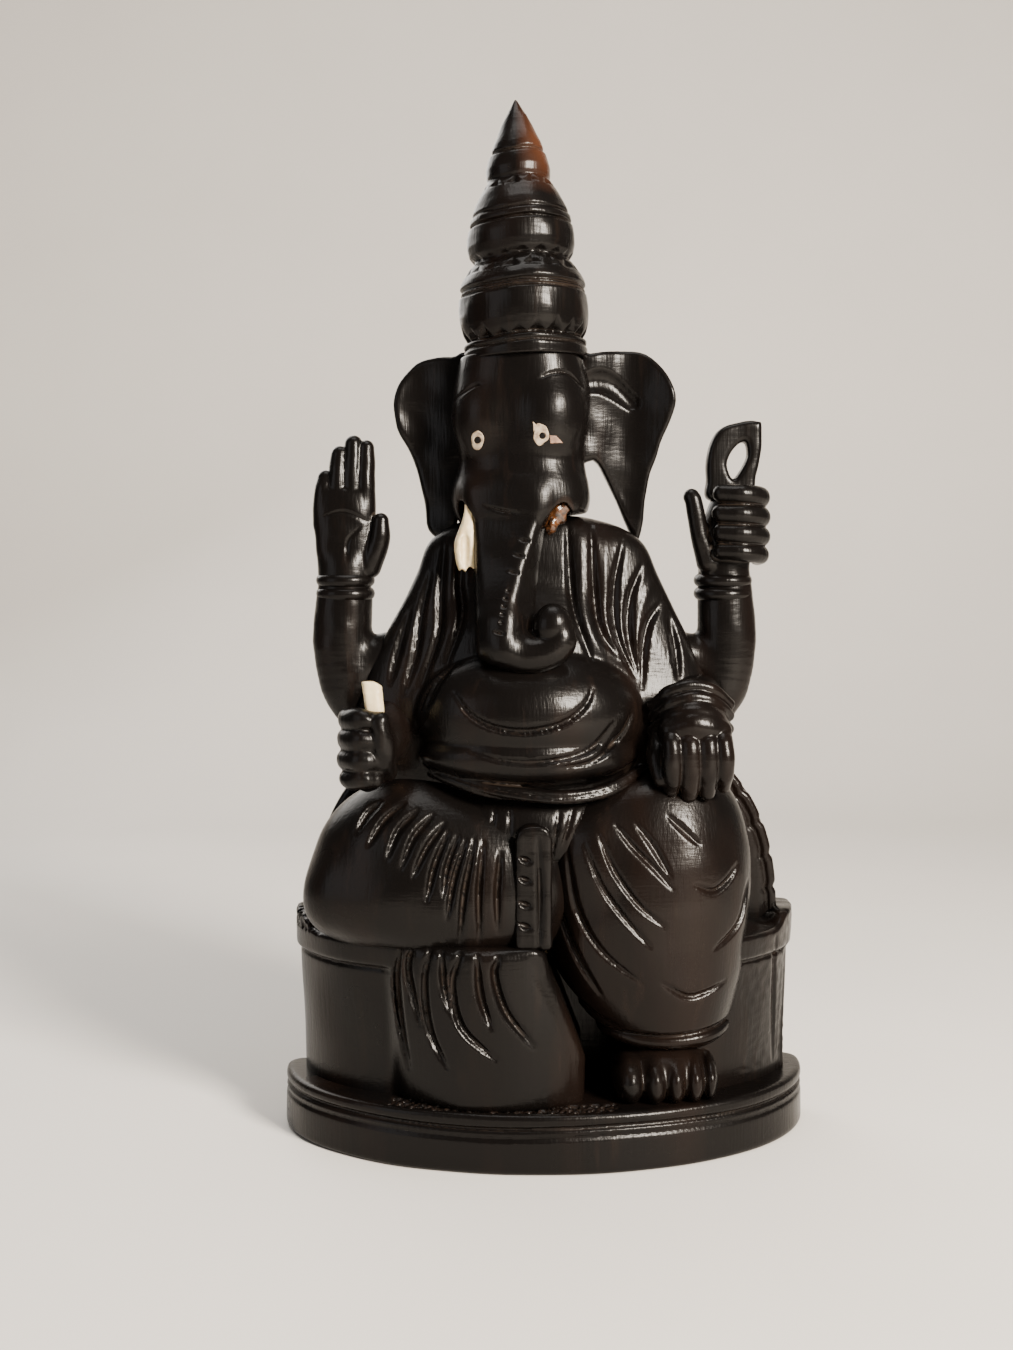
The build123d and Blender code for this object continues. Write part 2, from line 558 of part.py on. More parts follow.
# ---- assembly ----------------------------------------------------------------------------------------------------
def main():
    plinth = make_plinth()
    seat = make_seat()
    back_slab = make_back_slab()
    head = make_head()
    crown = make_crown()
    head = head - crown_frame() * block(-BIG, BIG, -BIG, BIG, 0, BIG)
    torso = make_torso() - back_slab - head
    lap = make_lap() - torso - seat - above(hand_rest_z)
    left_leg = make_left_leg() - torso - seat
    left_foot = make_left_foot()
    sash = make_sash() - lap - torso - left_leg
    right_ear = make_ear(-1) - head - torso - crown
    left_ear = make_ear(1) - head - torso - crown
    open_hand_arm = make_open_hand_arm() - torso
    fist_arm = make_fist_arm() - torso
    noose = make_noose() - fist_arm
    right_lower_arm = make_lower_arm(-1, 2.0) - torso - below(hand_rest_z) - open_hand_arm
    left_lower_arm = make_lower_arm(1, 7.0) - torso - left_leg - fist_arm

    # bone inlays, each in its own pocket
    held_tusk = make_held_tusk()
    x, y, z = tusk_top()
    tusk = make_tusk()
    socket_radius = 0.7 * tusk_radius + glue_gap
    head = head - rod((x, y, z - tusk_length), (0, 0, 1), socket_radius, tusk_length + end_gap)
    tusk = tusk - head
    mouth, end = empty_socket()
    head = head - rod((mouth[0], mouth[1], mouth[2] - 4), (0, 0, 1), 0.7 * tusk_radius, end[2] - mouth[2] + 4)
    old_glue = make_old_glue()
    hx = torso_x - lower_arm_offset + 0.5
    hy = lower_hand_front + 8.0
    grip_bottom = lower_hand_z + lower_hand_half_height + held_tusk_show - held_tusk_length - end_gap
    right_lower_arm = right_lower_arm - rod((hx, hy, grip_bottom), (0, 0, 1), held_tusk_radius + glue_gap, BIG / 4)
    right_ring, right_pupil, right_pocket = make_eye(-1)
    left_ring, left_pupil, left_pocket = make_eye(1)
    corner_inlay, corner_pocket = make_corner_inlay()
    head = head - right_pocket - left_pocket - corner_pocket

    # hidden dowels
    up, out = (0, 0, 1), (0, 1, 0)
    body = []
    for dowel_x in (lap_x, torso_x):
        seat, plinth, dowel = dowel_between(seat, plinth, (dowel_x, 8, plinth_thickness), up,
                                            body_dowel_radius, body_dowel_length)
        body.append(dowel)
    lap, seat, lap_dowel = dowel_between(lap, seat, (lap_x - 14, 2, seat_top), up,
                                         body_dowel_radius, body_dowel_length)
    body.append(lap_dowel)
    torso, seat, torso_dowel = dowel_between(torso, seat, (torso_x, 8, seat_top), up,
                                             body_dowel_radius, body_dowel_length)
    body.append(torso_dowel)
    left_leg, seat, leg_dowel = dowel_between(left_leg, seat, (leg_x + 2, niche_front, seat_top - 10), out,
                                              body_dowel_radius, body_dowel_length)
    body.append(leg_dowel)
    left_foot, plinth, foot_dowel = dowel_between(left_foot, plinth, (leg_x + 2.5, -6, plinth_thickness), up,
                                                  arm_dowel_radius, arm_dowel_length)
    head, torso, neck_dowel = dowel_between(head, torso, (head_x, head_y, neck_z - 1), up,
                                            body_dowel_radius, body_dowel_length)
    body.append(neck_dowel)
    lean = radians(crown_lean)
    crown, head, crown_dowel = dowel_between(
        crown, head, (head_x + 0.9, head_y, head_top), (sin(lean), 0, cos(lean)),
        crown_dowel_radius, crown_dowel_length)

    arm_dowels = [foot_dowel]
    joint_z = elbow_z + 12
    arm_reach = shawl_half_width - 1.5
    open_hand_arm, torso, d1 = dowel_between(
        open_hand_arm, torso, (torso_x - arm_reach, raised_arm_y, joint_z), (1, 0, 0), arm_dowel_radius,
        arm_dowel_length)
    fist_arm, torso, d2 = dowel_between(
        fist_arm, torso, (torso_x + arm_reach, raised_arm_y, joint_z), (1, 0, 0), arm_dowel_radius,
        arm_dowel_length)
    arm_dowels += [d1, d2]
    for_right = (torso_x - lower_arm_offset + 3, -4.5, lower_hand_z - 3)
    right_lower_arm, torso, d3 = dowel_between(right_lower_arm, torso, for_right, out, arm_dowel_radius,
                                               arm_dowel_length)
    for_left = (torso_x + lower_arm_offset - 3, -4.5, lower_hand_z + 1)
    left_lower_arm, torso, d4 = dowel_between(left_lower_arm, torso, for_left, out, arm_dowel_radius,
                                              arm_dowel_length)
    arm_dowels += [d3, d4]

    pins = []
    ear_pin_z = neck_z + head_height - 12
    for side, ear_name in ((-1, "right"), (1, "left")):
        centre = (head_x + side * 0.93 * head_half_width, ear_y, ear_pin_z)
        if ear_name == "right":
            right_ear, head, pin = dowel_between(right_ear, head, centre, (1, 0, 0), pin_radius, pin_length)
        else:
            left_ear, head, pin = dowel_between(left_ear, head, centre, (1, 0, 0), pin_radius, pin_length)
        pins.append(pin)
    noose, fist_arm, noose_pin = dowel_between(noose, fist_arm, (loop_foot()[0], loop_foot()[1], loop_foot()[2]),
                                               up, pin_radius, 0.75 * pin_length)
    pins.append(noose_pin)
    back_slab, torso, slab_pin = dowel_between(back_slab, torso, (torso_x, back_slab_front, seat_top + 30), out,
                                               arm_dowel_radius, arm_dowel_length)
    arm_dowels.append(slab_pin)

    nodes = {
        "plinth": plinth, "seat_block": seat, "back_slab": back_slab, "folded_leg": lap, "hanging_leg": left_leg,
        "left_foot": left_foot, "robe_sash": sash, "torso": torso, "head_and_trunk": head, "crown": crown,
        "right_ear": right_ear, "left_ear": left_ear, "open_hand_arm": open_hand_arm, "noose_arm": fist_arm,
        "noose_loop": noose, "tusk_holding_arm": right_lower_arm, "lower_left_arm": left_lower_arm,
        "mouth_tusk": tusk, "held_tusk": held_tusk, "old_glue": old_glue, "right_eye_ring": right_ring,
        "right_pupil": right_pupil, "left_eye_ring": left_ring, "left_pupil": left_pupil,
        "left_eye_corner": corner_inlay, "body_dowels": Compound(body), "crown_dowel": crown_dowel,
        "arm_dowels": Compound(arm_dowels), "pins": Compound(pins),
    }
    os.makedirs("parts", exist_ok=True)
    for name, shape in nodes.items():
        solids = shape.solids()
        export_step(solids[0] if len(solids) == 1 else Compound(solids), f"parts/{name}.step")


main()
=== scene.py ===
"""Carved ebony idol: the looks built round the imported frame.

Every wooden member is sculpted as a distance field in millimetres, meshed, and set in place of its
CAD node. Bone and glue are pieces of their own. Right and left in the names are the figure's own, as
in the frame.
"""

from math import cos, pi, radians, sin

import bpy
import numpy as np
import openvdb
from mathutils import Euler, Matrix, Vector


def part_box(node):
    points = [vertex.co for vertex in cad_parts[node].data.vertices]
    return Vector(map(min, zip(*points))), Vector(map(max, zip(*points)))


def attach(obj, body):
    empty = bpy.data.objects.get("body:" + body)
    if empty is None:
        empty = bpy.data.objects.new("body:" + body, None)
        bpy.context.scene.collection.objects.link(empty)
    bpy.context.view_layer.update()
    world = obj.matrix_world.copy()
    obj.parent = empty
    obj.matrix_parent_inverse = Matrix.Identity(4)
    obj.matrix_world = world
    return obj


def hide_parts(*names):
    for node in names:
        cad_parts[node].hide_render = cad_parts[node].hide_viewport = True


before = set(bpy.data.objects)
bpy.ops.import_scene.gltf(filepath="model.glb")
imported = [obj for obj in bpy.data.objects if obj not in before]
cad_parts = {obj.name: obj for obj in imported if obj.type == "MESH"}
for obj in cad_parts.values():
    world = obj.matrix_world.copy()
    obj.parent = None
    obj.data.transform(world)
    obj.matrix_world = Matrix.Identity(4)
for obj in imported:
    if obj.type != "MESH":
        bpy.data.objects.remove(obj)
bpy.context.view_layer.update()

MM = 0.001
BODY = "root"


# ---- places taken from the frame, in millimetres -------------------------------------------------
def span(node):
    """Lowest and highest corner of a CAD node."""
    low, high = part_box(node)
    return np.array(low) / MM, np.array(high) / MM


def middle(node):
    low, high = span(node)
    return (low + high) / 2


PLINTH_LOW, PLINTH_HIGH = span("plinth")
PLINTH_TOP = PLINTH_HIGH[2]
PLINTH_HALF = PLINTH_HIGH[0]
SEAT_HALF = PLINTH_HALF - 4.0
SEAT_TOP = span("torso")[0][2]
SEAT_BACK = span("seat_block")[1][1]
SLAB_LOW, SLAB_HIGH = span("back_slab")
NECK = span("torso")[1][2]
BODY_X = middle("torso")[0]
CROWN_FOOT = middle("crown_dowel")
HEAD_X, HEAD_Y = CROWN_FOOT[0] - 0.9, CROWN_FOOT[1]
HEAD_TOP = CROWN_FOOT[2]
CROWN_LEAN = radians(-2.3)
HEAD_TURN = radians(-12.0)
PLINTH_BACK_REACH = 5.0
WIDEST_Y = PLINTH_HIGH[1] - PLINTH_BACK_REACH
PLINTH_FRONT_REACH = WIDEST_Y - PLINTH_LOW[1]
OPEN_ARM_X = span("open_hand_arm")[0][0] + 7.2
NOOSE_ARM_X = middle("noose_arm")[0] + 1.5
ARM_Y = middle("noose_arm")[1]
WRIST = SEAT_TOP + 86.0
LEG_X = middle("left_foot")[0] - 2.5
LAP_X = SLAB_LOW[0] + 31.0


# ---- distance fields -----------------------------------------------------------------------------
def ellipsoid(p, centre, radii):
    q = (p - np.array(centre)) / np.array(radii)
    near = np.sqrt((q * q).sum(1)) + 1e-6
    slope = np.sqrt(((q / np.array(radii)) ** 2).sum(1)) + 1e-6
    return near * (near - 1) / slope


def join(a, b, blend):
    """Union of two fields with a soft fillet."""
    h = np.clip(0.5 + 0.5 * (b - a) / blend, 0, 1)
    return b + (a - b) * h - blend * h * (1 - h)


def trim(a, b, blend):
    """The part of a that is also in b, with a softened edge."""
    return -join(-a, -b, blend)


def carve(a, b, blend):
    """Takes b out of a."""
    return trim(a, -b, blend)


def curve_point(a, b, c, d, t):
    """Catmull-Rom point between b and c, a share t of the way."""
    square, cube = 2 * a - 5 * b + 4 * c - d, 3 * b - a - 3 * c + d
    return 0.5 * (2 * b + (c - a) * t + square * t * t + cube * t ** 3)


def smooth_route(points, count):
    """Points along a Catmull-Rom curve through the given points."""
    pts = np.array(points, float)
    if len(pts) == 2:
        t = np.linspace(0, 1, count)[:, None]
        return pts[0] * (1 - t) + pts[1] * t
    ends = np.vstack([2 * pts[0] - pts[1], pts, 2 * pts[-1] - pts[-2]])
    out = []
    for s in np.linspace(0, len(pts) - 1, count):
        i = min(int(s), len(pts) - 2)
        out.append(curve_point(*ends[i:i + 4], s - i))
    return np.array(out)


def limb(p, points, count=24, flat=1.0):
    """Round rod along a curve; each point is (x, y, z, radius). flat below 1 thins it along Y."""
    line = smooth_route(points, count)
    scale = np.array([1, 1 / flat, 1])
    q = p * scale
    best = np.full(len(p), 1e9)
    for a, b in zip(line, line[1:]):
        start, step = a[:3] * scale, (b[:3] - a[:3]) * scale
        t = np.clip(((q - start) @ step) / (step @ step + 1e-9), 0, 1)
        away = np.sqrt(((q - start - t[:, None] * step) ** 2).sum(1)) - (a[3] + t * (b[3] - a[3]))
        best = np.minimum(best, away)
    return best * min(1.0, flat + 0.15)


def levels(p, rows, square=2.0, ends=2.0):
    """Upright body through level ovals, each row (z, x, y, half width, half depth)."""
    table = np.array(rows, float)
    table = table[np.argsort(table[:, 0])]
    fine = smooth_route(table, 96)
    z = np.clip(p[:, 2], fine[0, 0], fine[-1, 0])
    x, y, a, b = (np.interp(z, fine[:, 0], fine[:, i]) for i in (1, 2, 3, 4))
    qx, qy = np.abs(p[:, 0] - x) / a, np.abs(p[:, 1] - y) / b
    near = (qx ** square + qy ** square) ** (1 / square) + 1e-6
    slope = np.sqrt((qx / a) ** 2 + (qy / b) ** 2) / np.sqrt(qx ** 2 + qy ** 2 + 1e-9) + 1e-6
    body = (near - 1) / slope
    body = trim(body, fine[0, 0] - p[:, 2], ends)
    return trim(body, p[:, 2] - fine[-1, 0], ends)


def brick(p, low, high, soft):
    """Box between two corners with rounded edges."""
    low, high = np.array(low, float), np.array(high, float)
    q = np.abs(p - (low + high) / 2) - (high - low) / 2 + soft
    return np.sqrt((np.maximum(q, 0) ** 2).sum(1)) + np.minimum(q.max(1), 0) - soft


def half_oval(p, half, front, back, corner):
    """Plan distance to a half oval ahead of the widest line, square behind it."""
    x, y = np.abs(p[:, 0]), p[:, 1] - WIDEST_Y
    qx, qy = x / half, y / front
    near = np.sqrt(qx ** 2 + qy ** 2) + 1e-6
    ahead = near * (near - 1) / (np.sqrt((qx / half) ** 2 + (qy / front) ** 2) + 1e-6)
    bx, by = x - (half - corner), y - (back - corner)
    behind = np.hypot(np.maximum(bx, 0), np.maximum(by, 0)) + np.minimum(np.maximum(bx, by), 0) - corner
    return np.where(y < 0, ahead, behind)


def outline(u, v, points, count=60):
    """Signed distance to a smooth closed outline drawn through the given points."""
    loop = closed_route(points, count)
    inside = np.zeros(len(u), bool)
    best = np.full(len(u), 1e9)
    for (au, av), (bu, bv) in zip(loop, np.roll(loop, -1, 0)):
        du, dv = bu - au, bv - av
        t = np.clip(((u - au) * du + (v - av) * dv) / (du * du + dv * dv + 1e-12), 0, 1)
        best = np.minimum(best, (u - au - t * du) ** 2 + (v - av - t * dv) ** 2)
        crosses = (av > v) != (bv > v)
        inside ^= crosses & (u < au + (v - av) * du / (dv if abs(dv) > 1e-12 else 1e-12))
    return np.where(inside, -1, 1) * np.sqrt(best)


def closed_route(points, count):
    """Points round a closed Catmull-Rom curve."""
    pts = np.array(points, float)
    n = len(pts)
    out = []
    for s in np.linspace(0, n, count, endpoint=False):
        i = int(s)
        out.append(curve_point(*(pts[(i + k) % n] for k in (-1, 0, 1, 2)), s - i))
    return np.array(out)


def waver(p, size, seed):
    """Gentle uneven waves between about -1 and 1, the hand of the carver in every surface."""
    rng = np.random.default_rng(seed)
    total = np.zeros(len(p))
    for _ in range(6):
        direction = rng.normal(size=3)
        direction *= 2 * pi / (size * rng.uniform(0.7, 1.4)) / np.linalg.norm(direction)
        total += np.sin(p @ direction + rng.uniform(0, 2 * pi))
    return total / 3


def strokes(p, routes, width, depth, ahead=None, sharp=1.0):
    """Depth of gouge cuts drawn on the front as (x, z) routes, each thinning towards its ends."""
    total = np.zeros(len(p))
    x, z = p[:, 0], p[:, 2]
    front = np.ones(len(p), bool) if ahead is None else p[:, 1] < ahead
    for route in routes:
        line = smooth_route(route, 4 + 5 * len(route))
        low, high = line.min(0) - width, line.max(0) + width
        near = np.flatnonzero(front & (x > low[0]) & (x < high[0]) & (z > low[1]) & (z < high[1]))
        if not near.size:
            continue
        q = p[near][:, [0, 2]]
        best = np.full(len(near), 1e9)
        along = np.zeros(len(near))
        for i, (a, b) in enumerate(zip(line, line[1:])):
            step = b - a
            t = np.clip(((q - a) @ step) / (step @ step + 1e-9), 0, 1)
            away = np.sqrt(((q - a - t[:, None] * step) ** 2).sum(1))
            closer = away < best
            best[closer] = away[closer]
            along[closer] = ((i + t) / (len(line) - 1))[closer]
        swell = np.sqrt(np.clip(np.sin(pi * np.clip(along, 0.02, 0.98)), 0, 1))
        reach = width * (0.5 + 0.5 * swell)
        cut = depth * swell * np.clip(1 - best / reach, 0, 1) ** sharp
        total[near] = np.maximum(total[near], cut)
    return total


def dents(p, places, radius, depth, ahead=None):
    """Depth of punched dots at (x, z) places on the front."""
    total = np.zeros(len(p))
    front = np.ones(len(p), bool) if ahead is None else p[:, 1] < ahead
    for x, z in places:
        away = np.hypot(p[:, 0] - x, p[:, 2] - z) / radius
        total = np.maximum(total, np.where(front, depth * np.clip(1 - away * away, 0, 1), 0))
    return total


def turned(p, centre, angle):
    """Points seen in directions turned by an angle about an upright line."""
    c, s = cos(angle), sin(angle)
    x, y = p[:, 0] - centre[0], p[:, 1] - centre[1]
    return np.column_stack([c * x + s * y, -s * x + c * y, p[:, 2]])


# ---- meshing -------------------------------------------------------------------------------------
def field_slope(field, points, step):
    slope = np.empty_like(points)
    for axis in range(3):
        shift = np.zeros(3)
        shift[axis] = step
        slope[:, axis] = (field(points + shift) - field(points - shift)) / (2 * step)
    return slope


def main_island(count, quads):
    """Marks the vertices of the largest connected part, so that no stray crumbs stay."""
    label = np.arange(count)
    while True:
        lowest = label[quads].min(1)
        new = label.copy()
        np.minimum.at(new, quads.ravel(), np.repeat(lowest, quads.shape[1]))
        new = new[new]
        if (new == label).all():
            break
        label = new
    kinds, sizes = np.unique(label, return_counts=True)
    return label == kinds[sizes.argmax()]


BLOCK = 4
BATCH = 400000


def near_surface(field, low, blocks, voxel):
    """Coarse look at the field: which blocks may hold surface, and which lie inside."""
    axes = [low[i] + voxel * BLOCK * (np.arange(blocks[i]) + 0.5) for i in range(3)]
    centres = np.stack(np.meshgrid(*axes, indexing="ij"), -1).reshape(-1, 3)
    rough = field(centres).reshape(blocks)
    inside = rough < 0
    padded = np.pad(inside, 1, mode="edge")
    crossing = np.zeros(blocks, bool)
    for axis in range(3):
        for side in (0, 2):
            window = [slice(1, -1)] * 3
            window[axis] = slice(side, side + blocks[axis])
            crossing |= padded[tuple(window)] != inside
    return crossing | (np.abs(rough) < 1.3 * voxel * BLOCK), inside


def refined(values):
    """Every block's value repeated for each of its voxels."""
    for axis in range(3):
        values = np.repeat(values, BLOCK, axis)
    return values


def surface_of(field, low, high, voxel):
    """Quads on the field's surface inside a box, moved onto the surface itself."""
    low, high = np.array(low, float), np.array(high, float)
    blocks = np.ceil((high - low) / (voxel * BLOCK)).astype(int) + 1
    active, inside = near_surface(field, low, blocks, voxel)
    fine = refined(active)
    band = 3 * voxel
    values = refined(np.where(inside, -1.0, 1.0) * band).astype(np.float32)
    places = low + (np.argwhere(fine) + 0.5) * voxel
    batches = np.array_split(places, max(1, len(places) // BATCH))
    found = np.concatenate([field(batch) for batch in batches])
    values[fine] = np.clip(found, -band, band)
    grid = openvdb.FloatGrid(band)
    grid.copyFromArray(values)
    points, quads = grid.convertToQuads(0.0)
    points = low + (np.array(points, float) + 0.5) * voxel
    quads = np.array(quads, int)
    keep = main_island(len(points), quads)
    renumber = np.cumsum(keep) - 1
    quads = renumber[quads[keep[quads[:, 0]]]]
    points = points[keep]
    slope = field_slope(field, points, 0.1)
    steep = (slope ** 2).sum(1) + 1e-6
    move = slope * (field(points) / steep)[:, None]
    long = np.linalg.norm(move, axis=1)
    points = points - move * np.minimum(1, 0.6 * voxel / (long + 1e-9))[:, None]
    a, b, c = (points[quads[:, i]] for i in (0, 1, 2))
    normal = slope / np.sqrt(steep)[:, None]
    if (np.cross(b - a, c - a) * normal[quads[:, 0]]).sum() < 0:
        quads = quads[:, ::-1]
    return points, quads, normal, np.sqrt(steep)


def mesh_object(name, points, faces, material):
    mesh = bpy.data.meshes.new(name)
    mesh.from_pydata((np.asarray(points) * MM).tolist(), [], np.asarray(faces).tolist())
    mesh.materials.append(material)
    mesh.polygons.foreach_set("use_smooth", [True] * len(mesh.polygons))
    mesh.update()
    piece = bpy.data.objects.new(name, mesh)
    bpy.context.collection.objects.link(piece)
    return piece


def sculpt(name, node, field, box, voxel, material, slot, reach=1.1):
    """One carved member in place of its CAD node, and how deep each point lies in a crease or on an edge."""
    points, quads, normal, steep = surface_of(field, *box, voxel)
    piece = mesh_object(name, points, quads, material)
    crease = 1 - field(points + normal * reach) / steep / reach
    edge = 1 + field(points - normal * reach) / steep / reach
    for label, values in (("crease", crease), ("edge", edge)):
        layer = piece.data.attributes.new(label, "FLOAT", "POINT")
        layer.data.foreach_set("value", np.clip(values, 0, 1).astype(np.float32))
    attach(piece, BODY)
    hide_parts(node)


# ---- finishes ------------------------------------------------------------------------------------
class Wire:
    """A number inside a finish that can be used in sums."""

    def __init__(self, finish, socket):
        self.finish, self.socket = finish, socket

    def _sum(self, operation, first, second):
        return self.finish.add("ShaderNodeMath", {"operation": operation}, {0: first, 1: second})

    def __add__(self, other):
        return self._sum("ADD", self, other)

    __radd__ = __add__

    def __mul__(self, other):
        return self._sum("MULTIPLY", self, other)

    __rmul__ = __mul__

    def __sub__(self, other):
        return self._sum("SUBTRACT", self, other)

    def __rsub__(self, other):
        return self._sum("SUBTRACT", other, self)

    def __pow__(self, other):
        return self._sum("POWER", self, other)


class Finish:
    """One procedural material on a Principled shader."""

    def __init__(self, name, roughness=0.4, **fixed):
        self.material = bpy.data.materials.new(name)
        self.material.use_nodes = True
        self.tree = self.material.node_tree
        self.shader = self.tree.nodes["Principled BSDF"]
        self.shader.inputs["Roughness"].default_value = roughness
        for socket, value in fixed.items():
            self.shader.inputs[socket.replace("_", " ")].default_value = value

    def add(self, kind, settings=None, sockets=None, out=0):
        node = self.tree.nodes.new(kind)
        for key, value in (settings or {}).items():
            setattr(node, key, value)
        for key, value in (sockets or {}).items():
            if isinstance(value, Wire):
                self.tree.links.new(value.socket, node.inputs[key])
            else:
                node.inputs[key].default_value = value
        return Wire(self, node.outputs[out])

    def feed(self, socket, wire):
        self.tree.links.new(wire.socket, self.shader.inputs[socket])

    def attribute(self, name):
        return self.add("ShaderNodeAttribute", {"attribute_name": name}, out=2)

    def place(self, scale=(1, 1, 1), turn=(0, 0, 0)):
        """Object coordinates, stretched and turned."""
        spot = self.add("ShaderNodeTexCoord", out=3)
        return self.add("ShaderNodeMapping", {}, {0: spot, 2: turn, 3: scale})

    def noise(self, where, size, detail=3.0):
        sockets = {"Vector": where, "Scale": size, "Detail": detail, "Roughness": 0.55}
        return self.add("ShaderNodeTexNoise", {}, sockets)

    def span(self, wire, low, high):
        """Maps low..high to 0..1, held at both ends."""
        return self.add("ShaderNodeMapRange", {"clamp": True}, {0: wire, 1: low, 2: high, 3: 0.0, 4: 1.0})

    def mix(self, share, first, second):
        return self.add("ShaderNodeMix", {"data_type": "RGBA"}, {0: share, 6: first, 7: second}, out=2)

    def bump(self, height, strength, distance):
        return self.add("ShaderNodeBump", {}, {"Height": height, "Strength": strength, "Distance": distance})


def rgb(r, g, b):
    return (r, g, b, 1.0)


def ebony(name, sapwood=None):
    """Near-black hardwood, rubbed to a satin shine, with dusty cuts and brown streaks along the grain.

    sapwood gives the heights between which a red-brown side comes in, and the X where it begins.
    """
    f = Finish(name, 0.3, Specular_IOR_Level=0.14)
    grain = f.noise(f.place((1, 1, 0.12)), 260, 4.0)
    streak = f.noise(f.place((1, 1, 0.18)), 45, 3.0)
    cloud = f.noise(f.place(), 60, 2.0)
    colour = f.mix(f.span(streak, 0.5, 0.78), rgb(0.0026, 0.0021, 0.0019), rgb(0.0075, 0.0042, 0.003))
    colour = f.mix(f.span(grain, 0.58, 0.85) * 0.5, colour, rgb(0.014, 0.0085, 0.006))
    if sapwood:
        low, high, side = sapwood
        spot = f.add("ShaderNodeTexCoord", out=3)
        x = f.add("ShaderNodeSeparateXYZ", {}, {0: spot}, out=0)
        z = f.add("ShaderNodeSeparateXYZ", {}, {0: spot}, out=2)
        pale = f.span(z + streak * 0.012, low, high) * f.span(x, side - 0.004, side + 0.004)
        colour = f.mix(pale * 0.8, colour, rgb(0.085, 0.030, 0.013))
    crease = f.attribute("crease")
    edge = f.attribute("edge")
    dust = f.span(crease, 0.45, 0.95) * f.span(cloud, 0.3, 0.65)
    colour = f.mix(dust * 0.3, colour, rgb(0.055, 0.038, 0.027))
    # Lighter brown on convex edges: partly worn edges, partly a painted highlight on the rims.
    colour = f.mix(f.span(edge, 0.5, 1.0) * 0.22, colour, rgb(0.034, 0.02, 0.014))
    f.feed("Base Color", colour)
    rub = f.noise(f.place(), 35, 3.0)
    f.feed("Roughness", f.span(rub, 0.2, 0.8) * 0.13 + 0.19 + dust * 0.25)
    scratch_a = f.noise(f.place((1.0, 1.0, 0.06), (0.0, 0.5, 0.3)), 1500, 2.0)
    scratch_b = f.noise(f.place((0.07, 1.0, 1.0), (0.2, 0.35, 0.0)), 1300, 2.0)
    height = scratch_a * 0.6 + scratch_b * 0.4 + grain * 0.5
    f.feed("Normal", f.bump(height, 0.2, 0.0005))
    return f.material


def bone(name):
    f = Finish(name, 0.42, Subsurface_Weight=0.08)
    streak = f.noise(f.place((1, 1, 0.15)), 500, 4.0)
    cloud = f.noise(f.place(), 180, 3.0)
    colour = f.mix(f.span(streak, 0.35, 0.7), rgb(0.74, 0.60, 0.38), rgb(0.56, 0.41, 0.22))
    colour = f.mix(f.span(cloud, 0.5, 0.8) * 0.5, colour, rgb(0.40, 0.27, 0.13))
    f.feed("Base Color", colour)
    f.feed("Roughness", f.span(cloud, 0.2, 0.8) * 0.2 + 0.35)
    f.feed("Normal", f.bump(streak, 0.25, 0.0003))
    return f.material


def old_bone(name):
    """Bone of the eyes: rubbed thin, stained by polish."""
    f = Finish(name, 0.45)
    cloud = f.noise(f.place(), 900, 4.0)
    colour = f.mix(f.span(cloud, 0.35, 0.7), rgb(0.46, 0.38, 0.27), rgb(0.17, 0.11, 0.07))
    f.feed("Base Color", colour)
    f.feed("Roughness", f.span(cloud, 0.2, 0.8) * 0.2 + 0.35)
    f.feed("Normal", f.bump(cloud, 0.3, 0.0002))
    return f.material


def tinted_inlay(name):
    f = Finish(name, 0.4)
    cloud = f.noise(f.place(), 700, 3.0)
    f.feed("Base Color", f.mix(f.span(cloud, 0.35, 0.65), rgb(0.12, 0.065, 0.045), rgb(0.30, 0.185, 0.125)))
    f.feed("Roughness", cloud * 0.2 + 0.3)
    f.feed("Normal", f.bump(cloud, 0.2, 0.0002))
    return f.material


def amber_glue(name):
    f = Finish(name, 0.15, Coat_Weight=0.5)
    cloud = f.noise(f.place(), 700, 3.0)
    f.feed("Base Color", f.mix(f.span(cloud, 0.4, 0.7), rgb(0.012, 0.005, 0.002), rgb(0.10, 0.035, 0.009)))
    f.feed("Roughness", cloud * 0.25 + 0.08)
    f.feed("Normal", f.bump(cloud, 0.5, 0.0006))
    return f.material


def dowel_wood(name):
    f = Finish(name, 0.6)
    grain = f.noise(f.place((1, 1, 0.1)), 400, 4.0)
    f.feed("Base Color", f.mix(grain, rgb(0.30, 0.19, 0.10), rgb(0.46, 0.32, 0.19)))
    f.feed("Roughness", grain * 0.2 + 0.5)
    f.feed("Normal", f.bump(grain, 0.3, 0.0003))
    return f.material


SAPWOOD_FOOT, SAPWOOD_FULL = 231.0, 246.0
WOOD = ebony("ebony")
CROWN_WOOD = ebony("ebony_with_sapwood", (SAPWOOD_FOOT * MM, SAPWOOD_FULL * MM, (HEAD_X + 2.0) * MM))
BONE = bone("bone")
EYE_BONE = old_bone("stained_bone")
PINK = tinted_inlay("stained_inlay")
GLUE = amber_glue("old_glue")
DOWEL = dowel_wood("dowel_wood")


# ---- plinth, seat and back slab ------------------------------------------------------------------
def level_cut(z, height, width, depth):
    """Depth of a cut that runs level round a member."""
    return depth * np.exp(-((z - height) / width) ** 2)


def plinth_field(p):
    x, y, z = p.T
    plan = half_oval(p, PLINTH_HALF - 0.3, PLINTH_FRONT_REACH - 0.3, PLINTH_BACK_REACH - 0.4, 4.5)
    plan = plan + 0.15 * waver(p, 26, 1)
    drift = 0.25 * np.sin(x * 0.09)
    cuts = level_cut(z, PLINTH_TOP - 3.2 + drift, 0.6, 0.9)
    cuts += level_cut(z, PLINTH_TOP - 5.2 + drift, 0.6, 0.55)
    d = trim(plan + cuts, np.abs(z - PLINTH_TOP / 2) - PLINTH_TOP / 2, 1.5)
    return d + punch_marks(x, y) * (z > PLINTH_TOP - 2)


